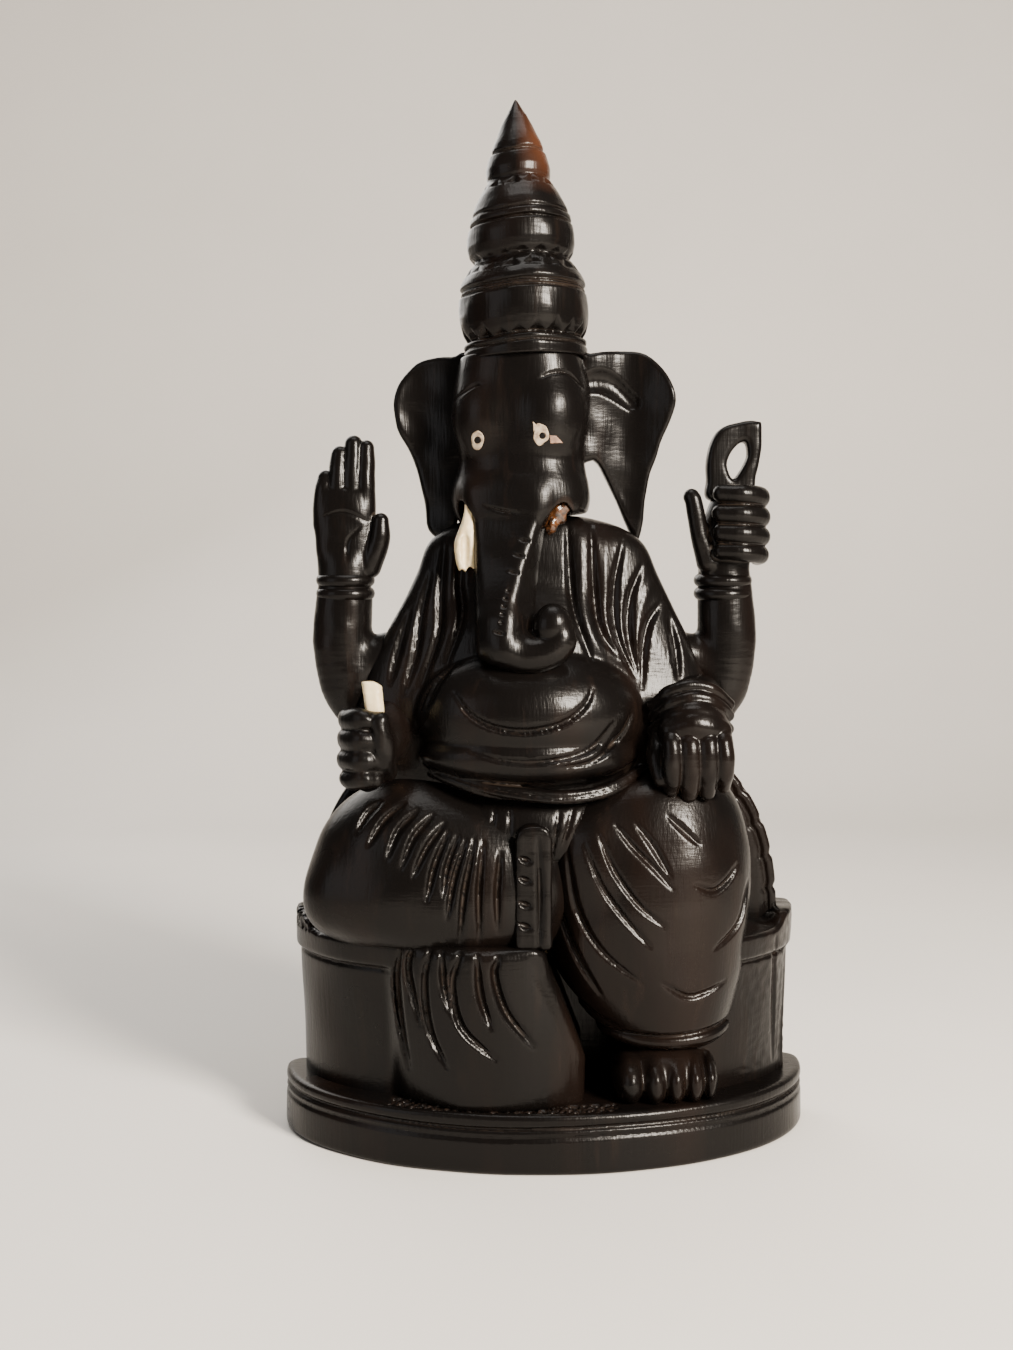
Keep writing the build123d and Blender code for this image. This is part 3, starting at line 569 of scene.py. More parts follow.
PUNCH_FIRST_X, PUNCH_STEP, PUNCH_COUNT = -38.0, 1.7, 31
PUNCH_ROWS, PUNCH_ROW_GAP = 4, 1.35
PUNCH_RADIUS, PUNCH_DEPTH = 0.85, 1.1


def punch_marks(x, y):
    """Depth of the uneven rows of punch marks in front of the seat."""
    punched = np.zeros(len(x))
    for row in range(PUNCH_ROWS):
        first = PUNCH_FIRST_X + 0.9 * (row % 2)
        mark = np.clip(np.round((x - first) / PUNCH_STEP), 0, PUNCH_COUNT - 1)
        mark_x = first + PUNCH_STEP * mark + 0.3 * np.sin(mark * 2.3 + row)
        mark_y = punch_line(mark_x) + PUNCH_ROW_GAP * row + 0.25 * np.sin(mark * 1.7 + 2 * row)
        away = np.hypot(x - mark_x, y - mark_y) / PUNCH_RADIUS
        punched = np.maximum(punched, PUNCH_DEPTH * np.clip(1 - away * away, 0, 1))
    return punched


def punch_line(x):
    """Where the outer row of punch marks runs along the plinth's top, just inside the front edge."""
    return WIDEST_Y - (PLINTH_FRONT_REACH - 2.8) * np.sqrt(np.maximum(0.0, 1 - (x / PLINTH_HALF) ** 2))


SEAT_FOOT_REACH = 33.5
SEAT_RIM_REACH = 39.0
RIM_DEEP = 6.2
NICHE_MIDDLE = 20.0
POST_LEFT, POST_FRONT = 47.5, 7.8
DRAPE_LEFT = -39.2
DRAPE_FRONT = span("seat_block")[0][1] - 0.9
# Right edge of the robe's end: how far down from the seat top, and X.
DRAPE_EDGE = [(0, -3.2), (6.0, -1.8), (11, 0.4), (17, 2.8), (23, 5.2), (27, 6.6), (37, 6.4)]
DRAPE_FOLDS = [
    ((-35.4, -0.6), (-36.3, -8), (-35.4, -18), (-33.5, -29)),
    ((-32.8, -0.6), (-33.6, -6), (-30.9, -18)),
    ((-28.5, -0.6), (-29.9, -8), (-28.6, -19), (-24.6, -27.5)),
    ((-25.8, -1.0), (-25.4, -8), (-23.8, -14.5)),
    ((-21.7, -1.0), (-23.5, -8), (-21.3, -17.5), (-13.6, -24.8)),
    ((-17.9, -1.2), (-17.1, -10), (-14.6, -17.5)),
    ((-13.0, -1.6), (-13.9, -5.5), (-11.2, -14), (-5.0, -22.0)),
]


def on_seat(routes):
    """Routes drawn from the seat top, as places in the frame."""
    return [[(x, SEAT_TOP + z) for x, z in route] for route in routes]


def rising(value, at, width):
    """Soft step from 0 to 1 where value passes at."""
    return 1 / (1 + np.exp(np.clip(-(value - at) / width, -60, 60)))


def drape_shape(p, edge):
    """The robe's end, hanging over the seat's front; edge is its right side at each point's height."""
    x, y, z = p.T
    drop = seat_drop(z)
    bulge = DRAPE_FRONT + 0.0145 * (x + 13) ** 2 + 0.0022 * (drop - 14) ** 2
    bulge = bulge + 0.1 * np.maximum(drop - 6, 0) * np.clip((-22 - x) / 15, 0, 1)
    cloth = trim(bulge - y, DRAPE_LEFT + 0.06 * drop - x, 4.0)
    cloth = trim(cloth, np.maximum(x - edge, y - 6), 4.5)
    return trim(cloth, np.maximum(z - SEAT_TOP + 0.3, PLINTH_TOP - 1 - z), 2.2)


def seat_drop(z):
    """How far below the seat's top, no further than the plinth."""
    return np.clip(SEAT_TOP - z, 0, 37)


def seat_field(p):
    x, y, z = p.T
    rise = np.clip((z - PLINTH_TOP) / (SEAT_TOP - PLINTH_TOP), 0, 1)
    reach = SEAT_FOOT_REACH + (SEAT_RIM_REACH - SEAT_FOOT_REACH) * rise ** 1.6
    rim = rising(z, SEAT_TOP - RIM_DEEP, 0.35)
    rim = rim * np.where(x < NICHE_MIDDLE, rising(-x, 36.5, 0.8), 1.0)
    half = SEAT_HALF - 1.2 + 1.2 * rise + 1.0 * rim
    back = SEAT_BACK - WIDEST_Y - 0.1
    plan = half_oval_varying(p, half, reach + 0.9 * rim, back, 2.5) + 0.15 * waver(p, 18, 2)
    groove = level_cut(z, SEAT_TOP - RIM_DEEP - 0.2, 0.6, 0.8) * ((x < -36.5) | (x > NICHE_MIDDLE))
    horn = 3.6 * rising(np.abs(x + 1), 56.5, 0.9) * rising(y, 4.0, 1.4)
    over = np.maximum(z - SEAT_TOP - horn, PLINTH_TOP - 1.5 - z)
    d = trim(plan + groove, over, 1.4)
    edge = np.interp(seat_drop(z), *np.array(DRAPE_EDGE).T)
    d = trim(d, x - np.where(x < 30, edge + 1.0, 999), 3.5)
    d = join(d, drape_shape(p, edge), 1.6)
    d = d + strokes(p, on_seat(DRAPE_FOLDS), 1.3, 1.7, ahead=-2)
    post = trim(half_oval_varying(p, half, reach, back, 2.5), over, 1.2)
    post = trim(post, np.maximum(POST_LEFT - x, POST_FRONT - y), 0.8)
    wall = trim(niche_wall(p), np.maximum(z - SEAT_TOP, PLINTH_TOP - 1.5 - z), 1.0)
    d = join(join(d, post, 0.5), wall, 0.8)
    chips = 0.13 * np.abs(waver(p, 5, 21)) * (x > 46) * (z > PLINTH_TOP + 3)
    horn_chips = 0.5 * np.abs(waver(p, 3.4, 22)) * (z > SEAT_TOP - 0.5) * (x < -55)
    face_line = [[(55.2, SEAT_TOP - 2), (55.8, SEAT_TOP - 34)]]
    return d + chips + horn_chips + strokes(p, face_line, 0.9, 0.7, ahead=12)


def niche_wall(p):
    """The wall at the back of the leg's niche."""
    x, y = p[:, 0], p[:, 1]
    return np.maximum(np.maximum(-4 - x, x - SEAT_HALF + 2), np.maximum(10.5 - y, y - SEAT_BACK))


def half_oval_varying(p, half, front, back, corner):
    """half_oval with a half width and a front reach that change up the block."""
    q = p.copy()
    q[:, 0] = p[:, 0] * SEAT_HALF / half
    return half_oval(q, SEAT_HALF, front, back, corner)


def back_slab_field(p):
    x, y, z = p.T
    half, rise = SLAB_HIGH[0] - 0.5, SLAB_HIGH[2] - SEAT_TOP - 0.5
    qx, qz = np.abs(x) / half, np.abs(z - SEAT_TOP) / rise
    near = (qx ** 2.5 + qz ** 2.5) ** 0.4 + 1e-6
    oval = near * (near - 1) / (np.sqrt((qx / half) ** 2 + (qz / rise) ** 2) + 1e-6)
    angle = np.arctan2(qz, x / half)
    front = y < SLAB_LOW[1] + 4
    oval = oval + 0.6 * np.clip(np.cos(angle * 40), 0, 1) ** 4 * front * (x > 0)
    border = 0.7 * np.exp(-((oval + 2.6) / 0.6) ** 2) * front
    middle_y = (SLAB_LOW[1] + SLAB_HIGH[1]) / 2
    thick = np.abs(y - middle_y) - (SLAB_HIGH[1] - SLAB_LOW[1]) / 2 + 0.12 * waver(p, 22, 3)
    d = trim(oval, thick + border, 1.6)
    return trim(d, SEAT_TOP - 1.0 - z, 0.8)


# ---- legs, sash and foot -------------------------------------------------------------------------
LAP_FOLDS = [
    ((-39.9, 32.7), (-43, 30), (-45.6, 26.0)),
    ((-34.5, 32.7), (-39, 29), (-42.8, 23.2)),
    ((-31.3, 31.2), (-35.6, 27), (-38.4, 20.4)),
    ((-27.8, 30.2), (-32.2, 25.5), (-35.2, 18.4)),
    ((-25.2, 28.4), (-29.4, 23), (-32.4, 16.6)),
    ((-24.4, 26.6), (-27.6, 19), (-29.2, 11.4)),
    ((-22.1, 25.7), (-24.6, 19), (-25.4, 12.2)),
    ((-20.3, 24.7), (-23.2, 16), (-24.6, 7.2)),
    ((-18.4, 24.7), (-20.8, 13), (-21.8, 1.6)),
    ((-16.4, 24.4), (-17.4, 13), (-17.2, 1.6)),
    ((-12.4, 22.0), (-13.2, 13), (-13.0, 4.0)),
]


def lap_field(p):
    knee = ellipsoid(p, (LAP_X - 1.0, 0.5, SEAT_TOP + 15.5), (28.4, 18.4, 23.5))
    middle_mass = ellipsoid(p, (-12, -0.6, SEAT_TOP + 13), (20, 17.4, 20.5))
    shin = limb(p, [(-50, -4, SEAT_TOP + 9, 8), (-32, -8.5, SEAT_TOP + 7, 8.5), (-12, -8, SEAT_TOP + 6, 8)])
    d = join(join(knee, middle_mass, 7), shin, 7)
    d = d + 0.12 * waver(p, 12, 4)
    d = d + strokes(p, on_seat(LAP_FOLDS), 1.15, 1.25, ahead=2)
    return trim(d, SEAT_TOP - 1.0 - p[:, 2], 1.0)


LEG_FOLDS = [
    ((2.9, 22.9), (5.4, 8.7), (10.8, -0.6), (20.0, -8.1)),
    ((0.6, 12.8), (3.2, 3.1), (6.4, -4.3), (10.8, -11.3)),
    ((7.0, 23.4), (10.9, 14.1), (16.3, 6.7), (21.8, 0.7)),
    ((10.2, 26.1), (13.7, 17.8), (19.0, 10.4), (25.0, 5.3)),
    ((14.3, 27.9), (18.0, 23.3), (22.6, 18.7), (26.8, 14.0)),
    ((18.9, 28.3), (22.6, 23.3), (26.3, 16.8)),
    ((26.2, 30.1), (29.6, 27.0), (33.2, 23.7)),
    ((-1.6, -0.5), (1.0, -8.9), (7.1, -15.4), (15.4, -19.7)),
    ((32.3, 14.4), (36.5, 13.0), (40.1, 14.9), (42.9, 18.1)),
    ((46.3, 13.5), (43.4, 4.2), (36.9, -0.9)),
    ((24.7, -8.0), (30.3, -11.3), (34.9, -10.9), (40.0, -9.0)),
]


def leg_field(p):
    x, y, z = p.T
    s = SEAT_TOP
    d = levels(p, [
        (s - 25.6, 27.8, -3.0, 13.6, 11.6), (s - 22.5, 27.1, -3.0, 15.2, 12.6),
        (s - 17, 25.4, -3.0, 18.2, 14.6), (s - 9, 23.8, -2.5, 22.0, 16.8), (s - 1, 23.0, -2.0, 23.8, 18.2),
        (s + 9, 23.8, -1.5, 24.4, 18.9), (s + 19, 24.3, -1.0, 23.8, 18.6), (s + 29, 24.6, -0.5, 21.4, 16.6),
        (s + 36, 25.0, 0.0, 17.0, 13.4), (s + 40, 25.0, 0.5, 9.5, 8.0),
    ], ends=4.0)
    d = join(d, ellipsoid(p, (9.5, -1.6, s + 20), (12.0, 15.0, 15.5)), 6)
    hem_z = s - 21.4 + 0.035 * (x - 27) + 0.006 * (x - 27) ** 2
    d = d + level_cut(z, hem_z, 0.65, 1.0) - level_cut(z, hem_z - 2.2, 1.2, 0.6) + 0.12 * waver(p, 11, 5)
    d = d + strokes(p, on_seat(LEG_FOLDS), 1.1, 1.0, ahead=4)
    return trim(d, y - SLAB_LOW[1] - 1.0, 0.8)


def foot_field(p):
    s = PLINTH_TOP
    x0 = LEG_X
    d = ellipsoid(p, (x0 + 2.4, -5.0, s + 5.2), (12.3, 12.6, 8.4))
    toes = ((-6.2, 4.0, 0.4), (-0.5, 3.3, 0.7), (4.3, 3.0, 0.3), (8.9, 2.9, -0.4), (12.7, 2.4, -1.8))
    for offset, radius, forward in toes:
        toe = ellipsoid(p, (x0 + offset, -10.6 - forward, s + 4.6), (radius, 8.5, 5.9 + 0.2 * forward))
        d = join(d, toe, 0.8)
        gap = ellipsoid(p, (x0 + offset + radius - 0.5, -20.0, s - 0.5), (0.9, 5.0, 5.4))
        d = carve(d, gap, 0.3)
    d = d + 0.06 * waver(p, 4, 6)
    return trim(d, s - 0.6 - p[:, 2], 0.6)


def sash_field(p):
    x, z = p[:, 0], p[:, 2]
    x0 = BODY_X - 0.8
    low = SEAT_TOP - 0.4
    d = brick(p, (x0 - 4.6, -19.4, low), (x0 + 4.6, -12.0, SEAT_TOP + 29.0), 1.6)
    d = trim(d, np.hypot(x - x0, np.maximum(z - SEAT_TOP - 24.4, 0)) - 4.4, 1.0)
    pleat = [[(x0 + 0.9, SEAT_TOP + 25.5), (x0 + 1.3, SEAT_TOP + 12), (x0 + 1.0, SEAT_TOP - 2)]]
    d = d + strokes(p, pleat, 1.2, 1.0, ahead=-10)
    rows = (20.7, 16.1, 10.4, 5.4)
    nicks = [((x0 - 3.6, SEAT_TOP + h + 0.7), (x0 - 0.6, SEAT_TOP + h - 0.4)) for h in rows]
    return d + strokes(p, nicks, 1.0, 1.1, ahead=-10) + 0.06 * waver(p, 6, 20)


# ---- torso ---------------------------------------------------------------------------------------
def torso_field(p):
    s = SEAT_TOP
    mantle = levels(p, [
        (s - 1, -1.5, 3.5, 31, 8.8), (s + 18, -2.0, 3.5, 33, 9.6), (s + 34, -3.0, 3.0, 38.5, 11.5),
        (s + 46, -3.0, 3.0, 42.8, 12.0), (s + 54, -3.0, 3.0, 43.0, 11.5), (s + 62, -3.0, 3.5, 40.6, 10.5),
        (s + 70, -2.9, 4.0, 37.2, 9.8), (s + 78, -2.8, 4.5, 33.0, 9.2), (s + 86, -2.7, 4.8, 29.2, 8.8),
        (s + 93, -3.0, 5.2, 26.2, 8.4), (s + 97, -3.4, 5.5, 21.5, 7.6), (s + 100, -4.0, 5.5, 14.0, 6.4),
    ], ends=3.0)
    belly = ellipsoid(p, (-5.3, -1.8, s + 53.0), (27.2, 19.4, 16.8))
    chest = ellipsoid(p, (-6.0, 0.5, s + 66), (22.5, 11.5, 17))
    roll = ellipsoid(p, (-5.4, -4.6, s + 43.6), (25.6, 15.9, 8.2))
    waist = limb(p, [(-29, -5, s + 40, 0.8), (-25, -9.8, s + 38.6, 1.5), (-17, -14.0, s + 36.6, 1.8),
                     (-8, -16.0, s + 35.2, 1.9), (2, -16.2, s + 34.4, 1.9), (12, -13.8, s + 35.6, 1.8),
                     (19, -9.2, s + 38.8, 1.5), (23, -5, s + 41, 0.8)], 30)
    hips = ellipsoid(p, (-4, -1.5, s + 26), (27, 14.0, 12.5))
    d = join(mantle, chest, 5)
    front = join(belly, roll, 0.9)
    d = join(d, front, 1.0)
    d = join(d, hips, 3)
    d = join(d, waist, 0.7)
    d = d + 0.12 * waver(p, 13, 7)
    d = d + strokes(p, on_seat(SHAWL_FOLDS), 1.5, 1.2, ahead=3)
    d = d - strokes(p, on_seat(SHAWL_RIDGES), 2.4, 0.4, ahead=2, sharp=1.4)
    d = d + strokes(p, on_seat(BELLY_LINES), 1.1, 1.1, ahead=-8)
    d = d + strokes(p, on_seat(WAIST_LINES), 0.7, 0.6, ahead=-8)
    return d + dents(p, belly_dots(), 0.5, 0.4, ahead=-8)


def belly_dots():
    """Small punched marks that follow the upper belly line from below."""
    line = smooth_route([(x, SEAT_TOP + z - 0.7) for x, z in BELLY_LINES[0]], 41)
    return [tuple(spot) for spot in line[4:34]]


WAIST_LINES = [
    ((-27.0, 40.2), (-17.5, 37.3), (-8.0, 35.7), (2.0, 34.7), (12.0, 36.0), (20.0, 39.4)),
    ((-22.0, 37.0), (-12.0, 34.6), (-1.0, 33.1), (10.9, 33.4), (17.5, 36.2)),
    ((-17.0, 33.0), (-18.0, 29.0), (-19.4, 25.0)), ((-13.4, 32.4), (-14.2, 27.5), (-15.0, 23.0)),
    ((-10.0, 31.8), (-10.2, 27.5), (-10.6, 23.0)), ((1.4, 31.4), (0.4, 26.0), (-0.6, 20.0)),
    ((4.6, 31.8), (3.2, 27.0), (1.6, 22.0)), ((8.0, 32.6), (6.2, 28.2), (4.0, 24.0)),
]


SHAWL_FOLDS = [
    ((4.0, 98.3), (4.5, 85.7), (5.5, 76.5), (9.3, 65.3)),
    ((9.7, 98.4), (10.2, 82.6), (11.4, 73.0), (15.9, 66.4)),
    ((17.4, 93.9), (15.1, 82.6), (15.6, 71.4), (20.7, 60.3)),
    ((21.9, 87.8), (18.9, 80.0), (18.5, 70.9), (21.2, 60.3)),
    ((26.2, 78.6), (23.2, 73.9), (21.8, 67.4), (21.4, 59.1)),
    ((-20.5, 97.0), (-21.5, 84.0), (-21.0, 76.0), (-24.5, 65.0)),
    ((-25.0, 94.0), (-26.0, 82.0), (-26.5, 72.0), (-30.5, 60.0)),
    ((-28.5, 86.0), (-30.5, 77.0), (-32.0, 67.0), (-34.5, 58.0)),
    ((-33.5, 77.0), (-36.0, 68.0), (-38.0, 60.0)),
    ((28.5, 76.0), (30.0, 68.0), (30.5, 61.0)),
]
SHAWL_RIDGES = [
    ((7.0, 97.0), (7.4, 84.0), (8.6, 74.0), (12.6, 65.0)),
    ((13.4, 96.0), (12.8, 83.0), (13.6, 72.0), (18.0, 62.0)),
    ((-23.0, 95.0), (-23.8, 83.0), (-24.0, 74.0), (-28.0, 62.0)),
    ((24.5, 84.0), (21.2, 76.5), (20.4, 69.0), (21.4, 61.0)),
]
BELLY_LINES = [
    ((-23.0, 58.5), (-19.3, 54.0), (-13.9, 51.2), (-6.6, 50.3), (1.6, 52.1), (7.0, 56.2), (8.6, 59.6)),
    ((-19.0, 45.4), (-10, 43.2), (-1.1, 43.4), (8.0, 45.7), (13.6, 51.6)),
    ((-1.0, 41.6), (8.6, 43.0), (15.4, 48.6), (18.4, 54.0)),
    ((-25.0, 64.9), (-29.0, 59.5), (-31.6, 52.8)),
    ((-22.4, 66.0), (-26.6, 60.5), (-29.4, 54.8)),
]


# ---- head, ears and crown ------------------------------------------------------------------------
def head_field(p):
    q = turned(p, (HEAD_X, HEAD_Y), HEAD_TURN)
    n = NECK
    skull = levels(q, [
        (n - 4, 0, -1.2, 13.6, 9.8), (n - 1, 0, -1.6, 15.6, 11.8), (n + 2.5, 0, -1.4, 16.5, 12.6),
        (n + 6, 0, -1.0, 16.2, 12.7), (n + 9, 0, -0.6, 15.4, 12.5), (n + 12, 0, -0.4, 14.9, 12.3),
        (n + 16, 0, -0.3, 15.3, 12.5), (n + 21, 0, -0.1, 16.2, 12.9), (n + 26, 0, 0, 16.4, 13.2),
        (n + 31, 0, 0, 15.8, 13.1), (HEAD_TOP + 0.2, 0, 0, 14.5, 12.8),
    ], square=2.3, ends=0.6)
    for side in (-1, 1):
        boss = ellipsoid(q, (side * 7.3, -5.4, n + 21.6), (7.9, 8.4, 9.8))
        skull = join(skull, boss, 3.0)
    lip = n - 1.9 + 0.09 * (p[:, 0] - HEAD_X) - p[:, 2]
    skull = trim(skull, lip, 0.8)
    trunk = trunk_field(p)
    d = join(skull, trunk, 3.8)
    for offset in (-11.3, 10.2):
        socket = limb(q, [(offset, -10.5, n - 7, 4.4), (offset, -9.6, n - 2.0, 3.2),
                          (offset, -8.0, n + 2.6, 1.8)], 8)
        d = carve(d, np.maximum(socket, -trunk + 0.3), 0.5)
    d = d + 0.07 * waver(p, 9, 8)
    d = d + strokes(p, HEAD_LINES, 0.6, 0.55, ahead=HEAD_Y)
    d = d + strokes(p, trunk_nicks(), 0.6, 0.6, ahead=-8)
    return d + dents(p, trunk_dots(), 0.6, 0.5, ahead=-8)


# Height above the neck, then X of the left edge, ridge and right edge, and Y of the ridge.
TRUNK_ROWS = [
    (-36.0, -18.0, -11.2, -2.6, -20.2), (-30.5, -18.0, -11.2, -3.6, -19.8), (-22, -18.0, -9.8, -3.9, -17.6),
    (-18, -18.0, -8.6, -3.6, -16.4), (-12, -18.2, -6.5, -2.8, -14.8), (-6.5, -18.4, -4.5, -1.8, -13.2),
    (-2, -18.6, -2.7, -0.4, -12.2), (2, -19.2, -2.4, 1.4, -11.6), (8, -19.8, -3.2, 3.0, -10.4),
]


def trunk_at(z):
    """Left edge, ridge, right edge and ridge front of the trunk at given heights."""
    table = smooth_route(TRUNK_ROWS, 60)
    return [np.interp(z - NECK, table[:, 0], table[:, i]) for i in (1, 2, 3, 4)]


def trunk_field(p):
    x, y, z = p.T
    left, ridge, right, front = trunk_at(z)
    near = facet(x, y, left, front + 4.4, ridge, front - 0.8)
    far = facet(x, y, ridge, front - 0.8, right, front + 6.5)
    d = trim(trim(near, far, 3.2), left - x, 2.4)
    d = trim(d, np.maximum(y - 4, x - right), 1.2)
    d = trim(d, z - NECK - 6, 4.0)
    d = trim(d, NECK - 35 - z, 3.0)
    n = NECK
    bend = limb(p, [(-12.0, -13.8, n - 27, 4.9), (-11.6, -14.6, n - 31.4, 4.9),
                    (-6.8, -15.6, n - 33.6, 4.5), (-2.0, -16.2, n - 33.2, 4.2),
                    (1.2, -16.4, n - 30.6, 3.8), (0.9, -16.2, n - 27.6, 3.2)], 24)
    d = join(d, bend, 2.4)
    ball = ellipsoid(p, (-0.5, -16.0, n - 27.2), (4.5, 4.1, 5.2))
    return join(d, ball, 0.5)


def facet(x, y, ax, ay, bx, by):
    """Distance ahead of an upright plane through two plan points."""
    dx, dy = bx - ax, by - ay
    return ((x - ax) * dy - (y - ay) * dx) / np.hypot(dx, dy)


def trunk_nicks():
    """Short level cuts left of the trunk's ridge."""
    out = []
    for h in (-7.5, -11.0, -14.8, -28.6):
        ridge = float(trunk_at(NECK + h)[1])
        out.append([(ridge - 3.2, NECK + h + 0.3), (ridge - 0.6, NECK + h - 0.3)])
    return out


def trunk_dots():
    """Punched dots that carry the cuts on down the trunk."""
    return [(float(trunk_at(NECK + h)[1]) - 1.7, NECK + h) for h in (-19.0, -20.8, -22.6, -24.4, -26.2)]


HEAD_LINES = [
    [(HEAD_X + 3.4, NECK + 29.6), (HEAD_X + 6.2, NECK + 31.0), (HEAD_X + 10.0, NECK + 31.2),
     (HEAD_X + 14, NECK + 28.2)],
    [(HEAD_X - 16.4, NECK + 25.4), (HEAD_X - 12.0, NECK + 28.2), (HEAD_X - 10.0, NECK + 28.4)],
    [(HEAD_X - 9.4, NECK + 0.6), (HEAD_X - 5.4, NECK - 0.6), (HEAD_X - 1.4, NECK - 1.4)],
]


def ear_plate(p, side, points, hollow=None):
    """Thin fanned plate, dished towards the front, with its rim turned forwards."""
    x, y, z = p.T
    u, v = side * (x - HEAD_X), z - HEAD_TOP
    shape = outline(u, v, points)
    out = np.clip((u - 15) / 23, 0, 1.1)
    sheet = 6.7 + 2.4 * np.sin(pi * np.clip(out, 0, 1)) ** 2 - 2.6 * out ** 3 + 1.4 * np.clip(-v / 44, 0, 1)
    thick = np.abs(y - sheet) - (2.4 - 0.9 * np.clip(out, 0, 1))
    d = trim(shape, thick, 1.5)
    if hollow:
        crescent = limb(np.column_stack([u, y - sheet + 2.4, v]), hollow, 12)
        d = carve(d, crescent, 0.5)
    return d + 0.16 * waver(p, 9, 9 + side)


# Ear outlines: out from the head's middle, and up from the top of the head.
EAR_LEFT = [(12.5, 0.2), (17.5, 1.9), (23.5, 3.1), (29.5, 2.4), (34.4, -1.6), (37.0, -7.2), (36.6, -12.6),
            (34.0, -19.0), (31.8, -25.4), (30.4, -32.0), (29.5, -41.0), (28.0, -43.0), (25.8, -38.6),
            (23.2, -33.0), (20.4, -27.6), (17.6, -23.4), (12.5, -23.0)]
EAR_RIGHT = [(12.5, 0.2), (16.5, 1.0), (20.5, 1.0), (25.6, -0.6), (29.2, -4.6), (30.8, -9.8), (30.0, -15.0),
             (27.6, -20.2), (25.2, -25.4), (23.6, -32.0), (22.6, -39.5), (19.5, -42.6), (16.2, -42.0),
             (15.0, -34.0), (13.6, -28.0), (11.0, -22.0)]
EAR_HOLLOW = [(13.5, -2.2, -6.0, 2.8), (20.0, -2.0, -4.8, 3.7), (27.0, -1.5, -9.6, 2.8)]


# Height up the crown and radius there.
CROWN_STEPS = [
    (0, 14.6), (1.2, 14.75), (1.9, 14.8), (2.4, 13.9), (2.9, 14.6), (3.6, 14.6), (4.2, 13.5), (4.9, 13.9),
    (6.1, 14.6), (8.0, 15.1), (9.9, 15.35), (12.0, 15.4), (14.4, 15.2), (14.9, 14.0), (15.5, 15.0),
    (16.1, 13.9), (16.9, 14.9), (18.0, 14.6), (19.3, 13.9), (21.2, 12.6), (22.4, 11.3), (23.2, 11.3),
    (24.4, 12.2), (26.4, 12.7), (28.7, 12.7), (30.6, 12.4), (31.2, 11.0), (31.8, 12.0), (33.0, 11.8),
    (33.6, 10.8), (34.2, 11.3), (36.0, 10.6), (38.1, 9.6), (40.7, 8.1), (41.7, 7.2), (42.6, 7.6),
    (44.4, 7.7), (46.2, 7.2), (47.6, 6.7), (48.2, 5.5), (48.8, 6.2), (50.4, 5.7), (54.6, 3.7),
    (58.4, 1.8), (60.9, 0.35), (62.0, -1.0),
]
# Rings of chip cuts: height of the foot, how many, ring radius, how tall, start, depth.
CROWN_CHIPS = [
    (4.4, 20, 14.6, 4.0, 0.0, 1.3), (19.8, 17, 13.2, 3.0, 0.5, 0.9), (39.8, 12, 8.2, 2.4, 0.2, 0.9),
    (22.9, 17, 12, 2.0, 0.0, 0.7),
]


def crown_field(p):
    foot = np.array([CROWN_FOOT[0], CROWN_FOOT[1], span("crown")[0][2] + 0.55])
    up = np.array([sin(CROWN_LEAN), 0, cos(CROWN_LEAN)])
    q = p - foot
    height = q @ up
    away = np.sqrt(np.maximum((q ** 2).sum(1) - height ** 2, 0))
    angle = np.arctan2(q[:, 1], q[:, 0])
    table = np.array(CROWN_STEPS)
    fine_h = np.linspace(0, 62, 311)
    fine_r = np.interp(fine_h, table[:, 0], table[:, 1])
    fine_r = np.convolve(np.pad(fine_r, 1, mode="edge"), [0.2, 0.6, 0.2], mode="valid")
    lift = height + 0.25 * np.sin(angle * 2 + 0.6) + 0.12 * np.sin(angle * 5)
    radius = np.interp(lift, fine_h, fine_r)
    tilt = np.interp(lift, fine_h, np.gradient(fine_r, fine_h))
    d = (away - radius) / np.sqrt(1 + tilt ** 2)
    for base, count, ring, tall, start, deep in CROWN_CHIPS:
        spot = angle * count / (2 * pi) + start + 0.06 * np.sin(3 * angle)
        across = np.abs(spot % 1.0 - 0.5) * 2 * pi * ring / count
        uneven = 0.75 + 0.25 * np.sin(2.4 * np.floor(spot) ** 2)
        rise = (lift - base) / (tall * uneven)
        width = 0.48 * 2 * pi * ring / count * np.clip(1 - rise, 0, 1) + 1e-3
        chip = deep * uneven * np.clip(1 - across / width, 0, 1) * np.clip(1 - rise, 0, 1)
        d = d + chip * np.clip(rise * 4 + 0.8, 0, 1)
    d = d + 0.11 * waver(p, 7, 11)
    return trim(d, -0.4 - height, 0.3)


# ---- arms ----------------------------------------------------------------------------------------
def raised_forearm(p, x, inward):
    """Forearm from the elbow to the wrist, and the short link that ties the elbow to the body."""
    w, y = WRIST, ARM_Y
    arm = limb(p, [(x + 0.9 * inward, y, w - 32, 4.2), (x - 0.2 * inward, y, w - 25, 6.4),
                   (x - 0.8 * inward, y, w - 15, 7.1), (x - 0.3 * inward, y, w - 6, 6.7),
                   (x, y, w + 1, 6.2)], 24, 0.86)
    link = limb(p, [(x + 0.8 * inward, y, w - 28, 4.6), (x + 5.0 * inward, y, w - 22.5, 5.2),
                    (x + 10.5 * inward, y, w - 19.5, 5.6)], 12, 0.9)
    return join(arm, link, 3.0)


